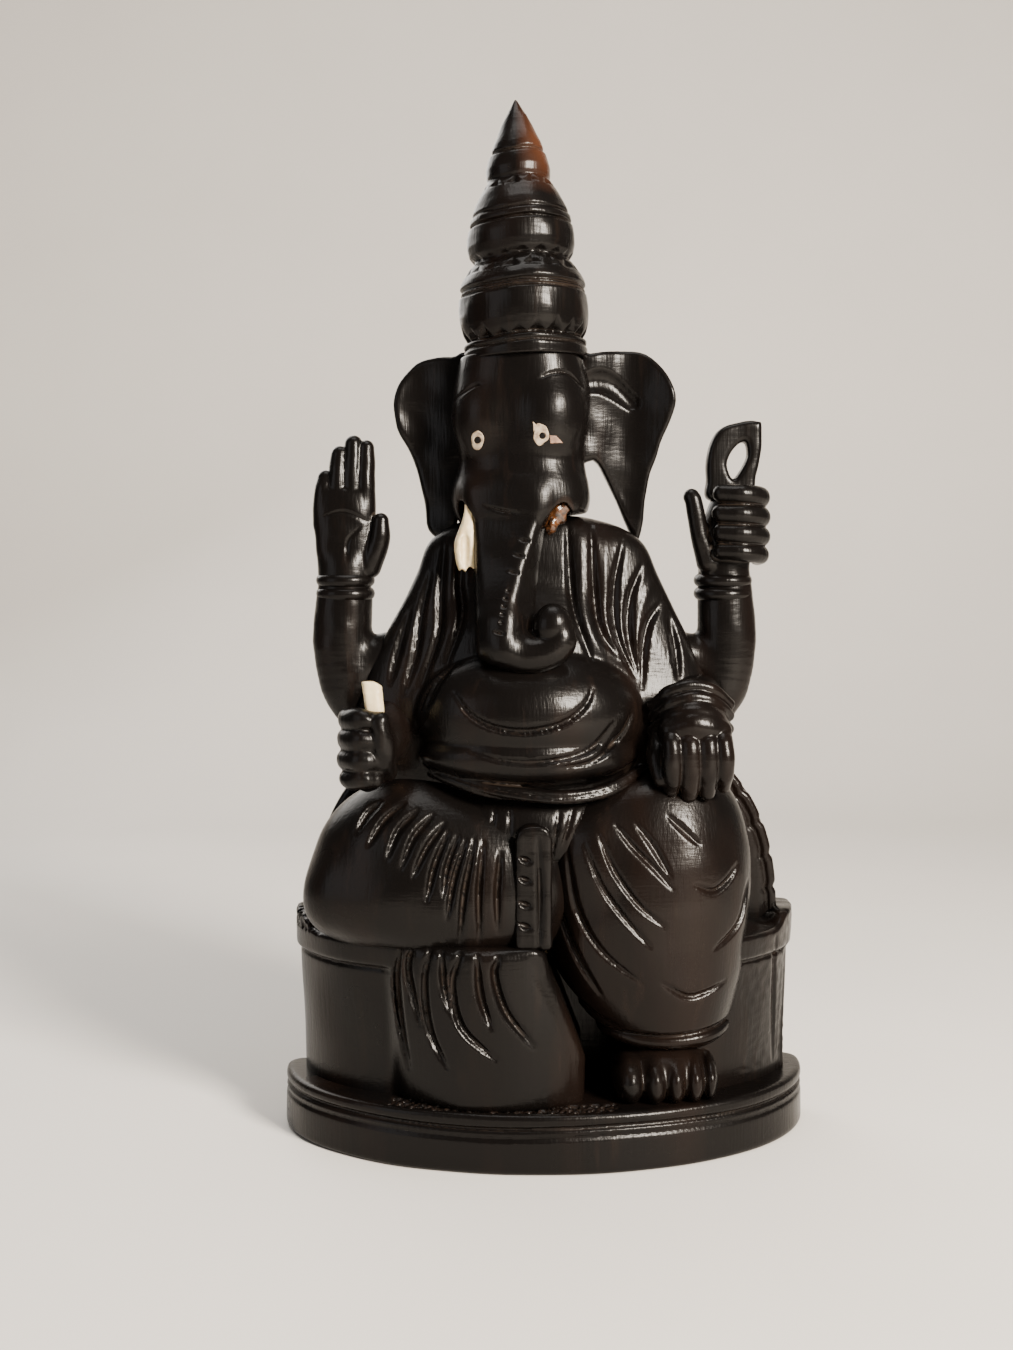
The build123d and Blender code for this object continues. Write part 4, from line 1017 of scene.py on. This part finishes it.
def open_hand_field(p):
    x0, w, y = OPEN_ARM_X, WRIST, ARM_Y
    d = raised_forearm(p, x0, 1)
    palm = levels(p, [
        (w - 2, x0 + 0.2, y, 6.0, 4.6), (w + 3, x0 + 0.2, y - 0.1, 6.7, 4.4), (w + 8, x0, y - 0.2, 7.2, 4.1),
        (w + 14, x0 - 0.1, y - 0.2, 7.5, 3.8), (w + 21, x0, y, 7.2, 3.4),
    ], square=2.5, ends=2.5)
    d = join(d, palm, 1.5)
    fingers = ((-5.0, 25.4, 2.3), (-1.6, 31.2, 2.45), (1.8, 33.8, 2.45), (4.9, 32.6, 2.3))
    for offset, top, radius in fingers:
        finger = limb(p, [(x0 + offset - 0.2, y - 0.2, w + 12, radius + 0.2),
                          (x0 + offset, y - 0.5, w + 0.5 * (12 + top), radius + 0.1),
                          (x0 + offset + 0.3, y + 0.2, w + top - radius, 0.85 * radius)], 14)
        d = join(d, finger, 0.35)
    thumb = limb(p, [(x0 + 5.8, y - 1.4, w + 1.6, 2.8), (x0 + 8.2, y - 2.4, w + 7.6, 2.6),
                     (x0 + 8.6, y - 2.6, w + 12.6, 2.0)], 12)
    d = join(d, thumb, 0.6)
    palm_lines = [[(x0 - 5.2, w + 13.6), (x0, w + 14.8), (x0 + 5.4, w + 12.6)],
                  [(x0 + 4.0, w + 11.4), (x0 + 1.0, w + 8.0), (x0 + 0.6, w + 3.0)]]
    return d + strokes(p, palm_lines, 0.7, 0.4, ahead=y) + 0.09 * waver(p, 6, 12)


def fist_field(p):
    x0, w, y = NOOSE_ARM_X, WRIST, ARM_Y
    d = raised_forearm(p, x0, -1)
    palm = ellipsoid(p, (x0 + 1.0, y - 0.6, w + 10.5), (6.2, 6.0, 10.6))
    d = join(d, palm, 2.0)
    for height, radius in ((18.6, 2.5), (13.9, 2.65), (9.2, 2.6), (4.9, 2.3)):
        z = w + height
        finger = limb(p, [(x0 - 1.8, y - 6.2, z + 0.6, radius - 0.3), (x0 + 3.2, y - 7.0, z + 0.3, radius),
                          (x0 + 7.6, y - 4.0, z, radius), (x0 + 8.4, y + 1.0, z - 0.4, radius - 0.1)], 14)
        d = join(d, finger, 0.45)
    thumb = limb(p, [(x0 - 4.4, y - 2.6, w + 3.0, 2.8), (x0 - 6.6, y - 3.4, w + 9.6, 2.3),
                     (x0 - 8.0, y - 3.6, w + 17.0, 2.1), (x0 - 8.6, y - 3.4, w + 18.6, 2.0)], 14)
    d = join(d, thumb, 0.8)
    return d + 0.07 * waver(p, 7, 13)


LOOP_OUTSIDE = [(-6.0, -2.0), (-6.6, 3.0), (-6.6, 8.5), (-4.2, 14.4), (1.4, 16.8), (5.6, 16.9), (6.6, 16.0),
                (6.5, 10.2), (5.4, 4.0), (3.6, -2.0)]
LOOP_INSIDE = [(-0.4, 3.2), (-1.8, 6.2), (-0.8, 9.4), (1.2, 11.6), (2.8, 11.6), (3.1, 8.4), (1.5, 5.0)]


def noose_field(p):
    x0, z0 = middle("noose_loop")[0], span("noose_loop")[0][2]
    y0 = middle("noose_loop")[1]
    u, v = p[:, 0] - x0, p[:, 2] - z0
    ring = trim(outline(u, v, LOOP_OUTSIDE), -outline(u, v, LOOP_INSIDE), 1.4)
    return trim(ring, np.abs(p[:, 1] - y0) - 2.3, 1.6) + 0.06 * waver(p, 6, 14)


TUSK_HAND = middle("tusk_holding_arm")
LOWER_HAND = middle("lower_left_arm")


def tusk_hand_field(p):
    x0 = TUSK_HAND[0] - 2.0
    z0 = SEAT_TOP + 45.3
    d = limb(p, [(x0 + 5.5, 4, z0 + 5, 7.4), (x0 + 3.6, -5, z0 + 2.4, 7.0),
                 (x0 + 1.6, -9, z0 + 0.6, 6.6)], 14)
    palm = ellipsoid(p, (x0 + 0.6, -10.8, z0 - 0.2), (5.8, 6.6, 9.6))
    d = join(d, palm, 1.6)
    for height, radius in ((6.8, 2.6), (2.2, 2.8), (-2.5, 2.8), (-6.8, 2.4)):
        z = z0 + height
        finger = limb(p, [(x0 - 3.5, -6.4, z, radius - 0.1), (x0 - 3.4, -12.2, z + 0.2, radius),
                          (x0 - 0.4, -15.6, z + 0.4, radius), (x0 + 2.4, -15.2, z + 0.3, radius - 0.5)], 14)
        d = join(d, finger, 0.6)
    thumb = limb(p, [(x0 + 4.6, -10.0, z0 - 5.0, 2.8), (x0 + 4.4, -15.2, z0 - 0.5, 2.7),
                     (x0 + 3.6, -16.2, z0 + 6.8, 2.3)], 12)
    d = join(d, thumb, 0.5)
    return d + 0.16 * waver(p, 5, 15)


def lower_hand_field(p):
    x0 = LOWER_HAND[0] - 1.2
    z0 = SEAT_TOP + 45.5
    d = limb(p, [(x0 + 2.7, 4, z0 + 9, 8.2), (x0 + 1.4, -6, z0 + 7.2, 8.0),
                 (x0 + 0.4, -10.0, z0 + 5.0, 7.8)], 14)
    back = ellipsoid(p, (x0 + 0.2, -10.0, z0 + 1.5), (8.2, 7.2, 9.8))
    d = join(d, back, 1.8)
    knuckles = limb(p, [(x0 - 5.6, -14.0, z0 + 4.4, 2.6), (x0 + 0.2, -15.4, z0 + 5.2, 2.9),
                        (x0 + 6.4, -13.6, z0 + 4.2, 2.6)], 12)
    d = join(d, knuckles, 1.2)
    for offset, radius, low in ((-5.4, 2.3, -9.4), (-1.3, 2.5, -10.6), (2.9, 2.4, -10.2), (6.7, 2.2, -8.6)):
        x = x0 + offset
        finger = limb(p, [(x, -13.6, z0 + 3.6, radius - 0.2), (x, -16.6, z0 + 0.8, radius),
                          (x + 0.2, -16.8, z0 - 4.6, radius), (x + 0.3, -14.0, z0 + low, radius - 0.5)], 14)
        d = join(d, finger, 0.45)
    thumb = limb(p, [(x0 - 6.8, -8.0, z0 + 3.0, 2.6), (x0 - 8.2, -12.0, z0 - 2.0, 2.5),
                     (x0 - 7.4, -14.5, z0 - 7.0, 2.0)], 12)
    d = join(d, thumb, 0.7)
    for lift in (8.0, 11.2, 13.8):
        arch = limb(p, [(x0 - 8.6, -8, z0 + lift - 4.2, 1.4),
                        (x0 - 4.9, -13.4 + 0.3 * (lift - 8), z0 + lift - 0.6, 1.5),
                        (x0 + 0.4, -15.2 + 0.6 * (lift - 8), z0 + lift + 0.6, 1.6),
                        (x0 + 5.6, -13.2 + 0.4 * (lift - 8), z0 + lift - 0.8, 1.5),
                        (x0 + 9.2, -8, z0 + lift - 4.0, 1.4)], 20)
        d = join(d, arch, 0.5)
    return d + 0.12 * waver(p, 6, 16)


# ---- bone, pupils and glue -----------------------------------------------------------------------
def inlay_field(shape, proud, depth):
    """A plug of the given front outline that follows the face's surface and stands a little proud."""
    def field(p):
        skin = head_field(p)
        d = trim(shape(p[:, 0], p[:, 2]), skin - proud, 0.12)
        return trim(d, -(skin + depth), 0.2)
    return field


def mouth_tusk_field(p):
    x, z = p[:, 0], p[:, 2]
    cx, cy = middle("mouth_tusk")[0] - 1.5, middle("mouth_tusk")[1] - 3.0
    n = NECK
    d = levels(p, [(n - 15, cx + 0.3, cy - 0.8, 1.9, 1.7), (n - 12.0, cx - 0.1, cy - 0.6, 2.5, 2.2),
                   (n - 8.0, cx - 0.3, cy - 0.4, 2.6, 2.4), (n - 4.5, cx + 0.2, cy - 0.2, 2.0, 2.1),
                   (n - 1.5, cx + 0.6, cy, 1.4, 1.6), (n + 1.5, cx + 0.8, cy + 0.2, 1.3, 1.4)],
               square=3.2, ends=0.6)
    broken = 0.9 * np.abs(np.sin((x - cx) * 1.6 + 0.5)) + 0.35 * (x - cx)
    d = trim(d, n - 14.6 + broken - z, 0.3)
    hollow = ellipsoid(p, (cx - 0.4, cy - 3.0, n - 9.5), (1.0, 1.3, 4.4))
    return carve(d, hollow, 0.5) + 0.14 * np.abs(waver(p, 3.2, 17))


def held_tusk_field(p):
    x, z = p[:, 0], p[:, 2]
    top = span("held_tusk")[1][2] - 1.0
    cx, cy = middle("held_tusk")[0], middle("held_tusk")[1] - 2.4
    d = levels(p, [(top - 13, cx + 0.4, cy, 2.0, 2.0), (top - 6, cx - 0.2, cy, 2.2, 2.0),
                   (top + 0.2, cx - 0.9, cy, 2.3, 1.9)], square=2.8, ends=0.5)
    slant = (z - top) + 0.55 * (x - cx)
    return trim(d, slant, 0.3) + 0.08 * np.abs(waver(p, 3.0, 18))


def glue_field(p):
    q = turned(p, (HEAD_X, HEAD_Y), HEAD_TURN)
    n = NECK
    d = ellipsoid(q, (9.6, -8.0, n - 0.8), (2.3, 2.1, 3.0))
    d = join(d, ellipsoid(q, (8.2, -9.0, n - 3.6), (1.4, 1.3, 2.2)), 1.0)
    d = join(d, ellipsoid(q, (11.4, -8.2, n + 0.4), (1.5, 1.4, 1.6)), 0.8)
    return d + 0.3 * waver(p, 2.4, 19)


EYE_Z = NECK + 16.4
RIGHT_EYE = (HEAD_X - 10.8, EYE_Z - 0.6)
LEFT_EYE = (HEAD_X + 3.7, EYE_Z + 0.4)


def ring_shape(centre, half, high, wobble, seed, hole=None):
    """Hand-cut oval in front view, with an optional round hole."""
    def shape(x, z):
        u, v = (x - centre[0]) / half, (z - centre[1]) / high
        angle = np.arctan2(v, u)
        edge = 1 + wobble * (np.sin(3 * angle + seed) + 0.6 * np.sin(5 * angle + 2 * seed))
        d = (np.hypot(u, v) - edge) * half
        if hole:
            d = np.maximum(d, hole[2] - np.hypot(x - hole[0], z - hole[1]))
        return d
    return shape


def left_eye_shape(centre):
    """The patched eye: an uneven plug with a chipped rim."""
    x0, z0 = centre
    plug = ring_shape(centre, 1.75, 2.4, 0.08, 1.7, (x0 + 0.35, z0 - 0.3, 0.74))
    horn = polygon_shape([(x0 - 1.7, z0 + 0.6), (x0 - 0.6, z0 + 1.6), (x0 - 1.9, z0 + 3.0)])

    def shape(x, z):
        return np.minimum(plug(x, z), horn(x, z))
    return shape


def eye_corner_shape(centre):
    """A stained wedge beside the patched eye and two slivers above it."""
    x0, z0 = centre
    parts = [polygon_shape([(x0 + 2.0, z0 - 0.2), (x0 + 3.6, z0 - 0.3), (x0 + 5.2, z0 - 1.8),
                            (x0 + 2.2, z0 - 2.0)]),
             polygon_shape([(x0 - 2.2, z0 + 1.6), (x0 - 1.8, z0 + 3.2), (x0 - 2.5, z0 + 5.0)]),
             polygon_shape([(x0 + 0.3, z0 + 2.6), (x0 + 1.1, z0 + 2.2), (x0 + 1.5, z0 + 4.3)])]

    def shape(x, z):
        return np.min([part(x, z) for part in parts], axis=0)
    return shape


def polygon_shape(points):
    """Straight-sided outline in front view."""
    def shape(x, z):
        d = np.full(len(x), -1e9)
        pts = np.array(points, float)
        area = sum(a[0] * b[1] - b[0] * a[1] for a, b in zip(pts, np.roll(pts, -1, 0)))
        for a, b in zip(pts, np.roll(pts, -1, 0)):
            n = np.array([b[1] - a[1], a[0] - b[0]]) * (1 if area > 0 else -1)
            n = n / np.linalg.norm(n)
            d = np.maximum(d, (x - a[0]) * n[0] + (z - a[1]) * n[1])
        return d
    return shape


# ---- rolled bracelets ----------------------------------------------------------------------------
def node_tree(name, inputs):
    """Empty geometry tree with a geometry input and output and named size inputs."""
    tree = bpy.data.node_groups.new(name, "GeometryNodeTree")
    tree.interface.new_socket("Geometry", in_out="INPUT", socket_type="NodeSocketGeometry")
    for label, kind in inputs:
        tree.interface.new_socket(label, in_out="INPUT", socket_type=kind)
    tree.interface.new_socket("Geometry", in_out="OUTPUT", socket_type="NodeSocketGeometry")
    return tree, tree.nodes.new("NodeGroupInput"), tree.nodes.new("NodeGroupOutput")


def bracelet_tree():
    """Sweeps a round profile along the piece's edges."""
    tree, start, end = node_tree("rolled_band", (("Roll radius", "NodeSocketFloat"),
                                                 ("Finish", "NodeSocketMaterial")))
    add, link = tree.nodes.new, tree.links.new
    curve = add("GeometryNodeMeshToCurve")
    profile = add("GeometryNodeCurvePrimitiveCircle")
    profile.inputs["Resolution"].default_value = 16
    sweep = add("GeometryNodeCurveToMesh")
    smooth = add("GeometryNodeSetShadeSmooth")
    realise = add("GeometryNodeRealizeInstances")
    finish = add("GeometryNodeSetMaterial")
    for node, out, target, socket in (
            (start, "Geometry", curve, "Mesh"), (start, "Roll radius", profile, "Radius"),
            (curve, "Curve", sweep, "Curve"), (profile, "Curve", sweep, "Profile Curve"),
            (sweep, "Mesh", smooth, "Geometry"), (smooth, "Geometry", realise, "Geometry"),
            (realise, "Geometry", finish, "Geometry"), (start, "Finish", finish, "Material"),
            (finish, "Geometry", end, "Geometry")):
        link(node.outputs[out], target.inputs[socket])
    return tree


def grown(name, points, edges, tree, settings):
    """Runs a tree on points (millimetres) and edges, and keeps the result as a plain mesh."""
    mesh = bpy.data.meshes.new(name)
    mesh.from_pydata([tuple(v * MM for v in point) for point in points], edges, [])
    seedling = bpy.data.objects.new(name + "_line", mesh)
    bpy.context.collection.objects.link(seedling)
    modifier = seedling.modifiers.new("grow", "NODES")
    modifier.node_group = tree
    for item in tree.interface.items_tree:
        if item.in_out == "INPUT" and item.name in settings:
            modifier[item.identifier] = settings[item.name]
    depsgraph = bpy.context.evaluated_depsgraph_get()
    result = bpy.data.meshes.new_from_object(seedling.evaluated_get(depsgraph))
    result.name = name
    bpy.data.objects.remove(seedling)
    piece = bpy.data.objects.new(name, result)
    bpy.context.collection.objects.link(piece)
    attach(piece, BODY)
    return piece


def ring_points(centre, half, deep, sag, count=48):
    """Points of an upright-axis oval ring whose front dips by sag."""
    x, y, z = centre
    turns = [2 * pi * i / count for i in range(count)]
    return [(x + half * cos(t), y + deep * sin(t), z + sag * sin(t)) for t in turns]


BRACELET_ROLL = 1.7


def make_bracelets():
    tree = bracelet_tree()
    for label, x in (("open_hand", OPEN_ARM_X), ("noose_hand", NOOSE_ARM_X - 0.3)):
        points, edges = [], []
        for lift in (-4.6, -1.4):
            ring = ring_points((x, ARM_Y, WRIST + lift), 5.4, 4.7, 0.3)
            first = len(points)
            points += ring
            edges += [(first + i, first + (i + 1) % len(ring)) for i in range(len(ring))]
        settings = {"Roll radius": BRACELET_ROLL * MM, "Finish": WOOD}
        grown(label + "_bracelet", points, edges, tree, settings)


# ---- build ---------------------------------------------------------------------------------------
def pad(node, grow, x_high=None):
    """Box round a CAD node to sculpt in, with its right side further out where asked."""
    low, high = span(node)
    low, high = low - grow, high + grow
    if x_high is not None:
        high[0] = x_high
    return low, high


def left_ear_field(p):
    return ear_plate(p, 1, EAR_LEFT, EAR_HOLLOW)


def right_ear_field(p):
    return ear_plate(p, -1, EAR_RIGHT)


def make_carvings():
    """Each row: the piece, the CAD node it stands for, its field, the box round it, and the voxel."""
    jobs = [
        ("carved_plinth", "plinth", plinth_field, pad("plinth", 2), 0.5),
        ("carved_seat", "seat_block", seat_field, pad("seat_block", 4), 0.55),
        ("carved_back_slab", "back_slab", back_slab_field, pad("back_slab", 3), 0.75),
        ("carved_folded_leg", "folded_leg", lap_field, pad("folded_leg", 6, x_high=14), 0.46),
        ("carved_hanging_leg", "hanging_leg", leg_field, pad("hanging_leg", 6), 0.46),
        ("carved_foot", "left_foot", foot_field, pad("left_foot", 4), 0.4),
        ("carved_sash", "robe_sash", sash_field, pad("robe_sash", 3), 0.4),
        ("carved_torso", "torso", torso_field, pad("torso", 4), 0.55),
        ("carved_head", "head_and_trunk", head_field, pad("head_and_trunk", 4), 0.36),
        ("carved_left_ear", "left_ear", left_ear_field, pad("left_ear", 8), 0.42),
        ("carved_right_ear", "right_ear", right_ear_field, pad("right_ear", 8), 0.45),
        ("carved_open_hand_arm", "open_hand_arm", open_hand_field, pad("open_hand_arm", 5), 0.4),
        ("carved_noose_arm", "noose_arm", fist_field, pad("noose_arm", 5), 0.4),
        ("carved_noose", "noose_loop", noose_field, pad("noose_loop", 4), 0.35),
        ("carved_tusk_hand", "tusk_holding_arm", tusk_hand_field, pad("tusk_holding_arm", 5), 0.42),
        ("carved_lower_hand", "lower_left_arm", lower_hand_field, pad("lower_left_arm", 6), 0.42),
    ]
    for name, node, field, box, voxel in jobs:
        sculpt(name, node, field, box, voxel, WOOD, "ebony")
    sculpt("carved_crown", "crown", crown_field, pad("crown", 2), 0.33, CROWN_WOOD, "ebony")


SMALL_VOXEL, SMALL_REACH = 0.25, 0.5
EYE_VOXEL, EYE_REACH, EYE_DEEP = 0.12, 0.3, 1.2


def make_inlays():
    for name, node, field, grow, material, slot in (
            ("bone_mouth_tusk", "mouth_tusk", mouth_tusk_field, 4, BONE, "bone"),
            ("bone_held_tusk", "held_tusk", held_tusk_field, 3, BONE, "bone"),
            ("glue_in_socket", "old_glue", glue_field, 9, GLUE, "amber_glue")):
        sculpt(name, node, field, pad(node, grow), SMALL_VOXEL, material, slot, SMALL_REACH)
    rx, rz = RIGHT_EYE
    lx, lz = LEFT_EYE
    right_ring = ring_shape(RIGHT_EYE, 1.45, 2.15, 0.04, 0.4, (rx, rz, 0.8))
    right_dot = ring_shape(RIGHT_EYE, 0.76, 0.76, 0.02, 1.0)
    left_dot = ring_shape((lx + 0.35, lz - 0.3), 0.68, 0.68, 0.02, 2.0)
    chip = eye_corner_shape(LEFT_EYE)
    eyes = [
        ("right_eye_bone", "right_eye_ring", RIGHT_EYE, right_ring, 0.1, EYE_BONE, "bone"),
        ("right_eye_pupil", "right_pupil", RIGHT_EYE, right_dot, 0.05, WOOD, "ebony"),
        ("left_eye_bone", "left_eye_ring", LEFT_EYE, left_eye_shape(LEFT_EYE), 0.12, EYE_BONE, "bone"),
        ("left_eye_pupil", "left_pupil", LEFT_EYE, left_dot, 0.05, WOOD, "ebony"),
        ("left_eye_corner_chip", "left_eye_corner", LEFT_EYE, chip, 0.08, PINK, "bone"),
    ]
    for name, node, (x, z), shape, proud, material, slot in eyes:
        box = (x - 4.5, HEAD_Y - 18, z - 4), (x + 7, HEAD_Y - 5, z + 6)
        field = inlay_field(shape, proud, EYE_DEEP)
        sculpt(name, node, field, box, EYE_VOXEL, material, slot, EYE_REACH)


def finish_hidden_dowels():
    for node in ("body_dowels", "crown_dowel", "arm_dowels", "pins"):
        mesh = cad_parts[node].data
        mesh.materials.clear()
        mesh.materials.append(DOWEL)


# ---- floor, light and camera ---------------------------------------------------------------------
FLOOR_REACH, FLOOR_FRONT, FLOOR_BACK = 1200.0, -900.0, 500.0
WALL_RISE, WALL_BEND, BEND_STEPS = 1400.0, 300.0, 16


def make_stage():
    """A pale floor that bends up into a plain wall behind the figure."""
    f = Finish("pale_floor", 0.75)
    cloud = f.noise(f.place(), 9, 3.0)
    f.feed("Base Color", f.mix(cloud, rgb(0.66, 0.63, 0.59), rgb(0.72, 0.69, 0.65)))
    f.feed("Roughness", cloud * 0.1 + 0.65)
    profile = [(FLOOR_FRONT, 0.0)]
    for i in range(BEND_STEPS + 1):
        t = 0.5 * pi * i / BEND_STEPS
        profile.append((FLOOR_BACK + WALL_BEND * sin(t), WALL_BEND - WALL_BEND * cos(t)))
    profile.append((FLOOR_BACK + WALL_BEND, WALL_RISE))
    points = [(x, y, z) for y, z in profile for x in (-FLOOR_REACH, FLOOR_REACH)]
    faces = [(2 * i, 2 * i + 1, 2 * i + 3, 2 * i + 2) for i in range(len(profile) - 1)]
    mesh_object("floor", points, faces, f.material)


# Area lights: place and size in metres, watts, colour. All face the middle of the figure.
LIGHTS = [
    ("key", (0.46, -0.62, 0.44), (0.20, 0.26), 31, (1.0, 0.90, 0.78)),
    ("fill", (-0.8, -0.6, 0.35), (0.5, 0.7), 1.6, (0.95, 0.96, 1.0)),
    ("top", (0.0, -0.1, 0.9), (0.5, 0.4), 3.5, (1.0, 0.97, 0.93)),
    ("back", (-0.3, 0.45, 0.5), (0.5, 0.5), 3, (1.0, 0.97, 0.93)),
]
LIGHT_AIM = (0, 0, 0.12)
SKY_STRENGTH = 0.15


def add_area(name, place, size, power, colour):
    light = bpy.data.lights.new(name, "AREA")
    light.shape = "RECTANGLE"
    light.size, light.size_y = size
    light.energy = power
    light.color = colour
    lamp = bpy.data.objects.new(name, light)
    lamp.location = place
    lamp.rotation_euler = (Vector(LIGHT_AIM) - Vector(place)).to_track_quat("-Z", "Y").to_euler()
    bpy.context.collection.objects.link(lamp)


def make_lights():
    for light in LIGHTS:
        add_area(*light)
    world = bpy.data.worlds.new("studio")
    world.use_nodes = True
    sky = world.node_tree.nodes["Background"]
    sky.inputs["Color"].default_value = rgb(0.86, 0.85, 0.83)
    sky.inputs["Strength"].default_value = SKY_STRENGTH
    bpy.context.scene.world = world


# Camera: place in millimetres, degrees turned towards +X and down, lens and sensor width.
CAMERA_PLACE = (-24.1, -357.5, 130.8)
CAMERA_YAW = 2.2
CAMERA_DIP = 2.86
LENS = 40.0
SENSOR = 36.0


def make_camera():
    camera = bpy.data.cameras.new("camera")
    camera.sensor_width = SENSOR
    camera.lens = LENS
    camera.clip_start = 0.01
    holder = bpy.data.objects.new("camera", camera)
    holder.location = [v * MM for v in CAMERA_PLACE]
    holder.rotation_euler = Euler((radians(90 - CAMERA_DIP), 0, radians(-CAMERA_YAW)))
    bpy.context.collection.objects.link(holder)
    bpy.context.scene.camera = holder


make_carvings()
make_inlays()
make_bracelets()
finish_hidden_dowels()
make_stage()
make_lights()
make_camera()
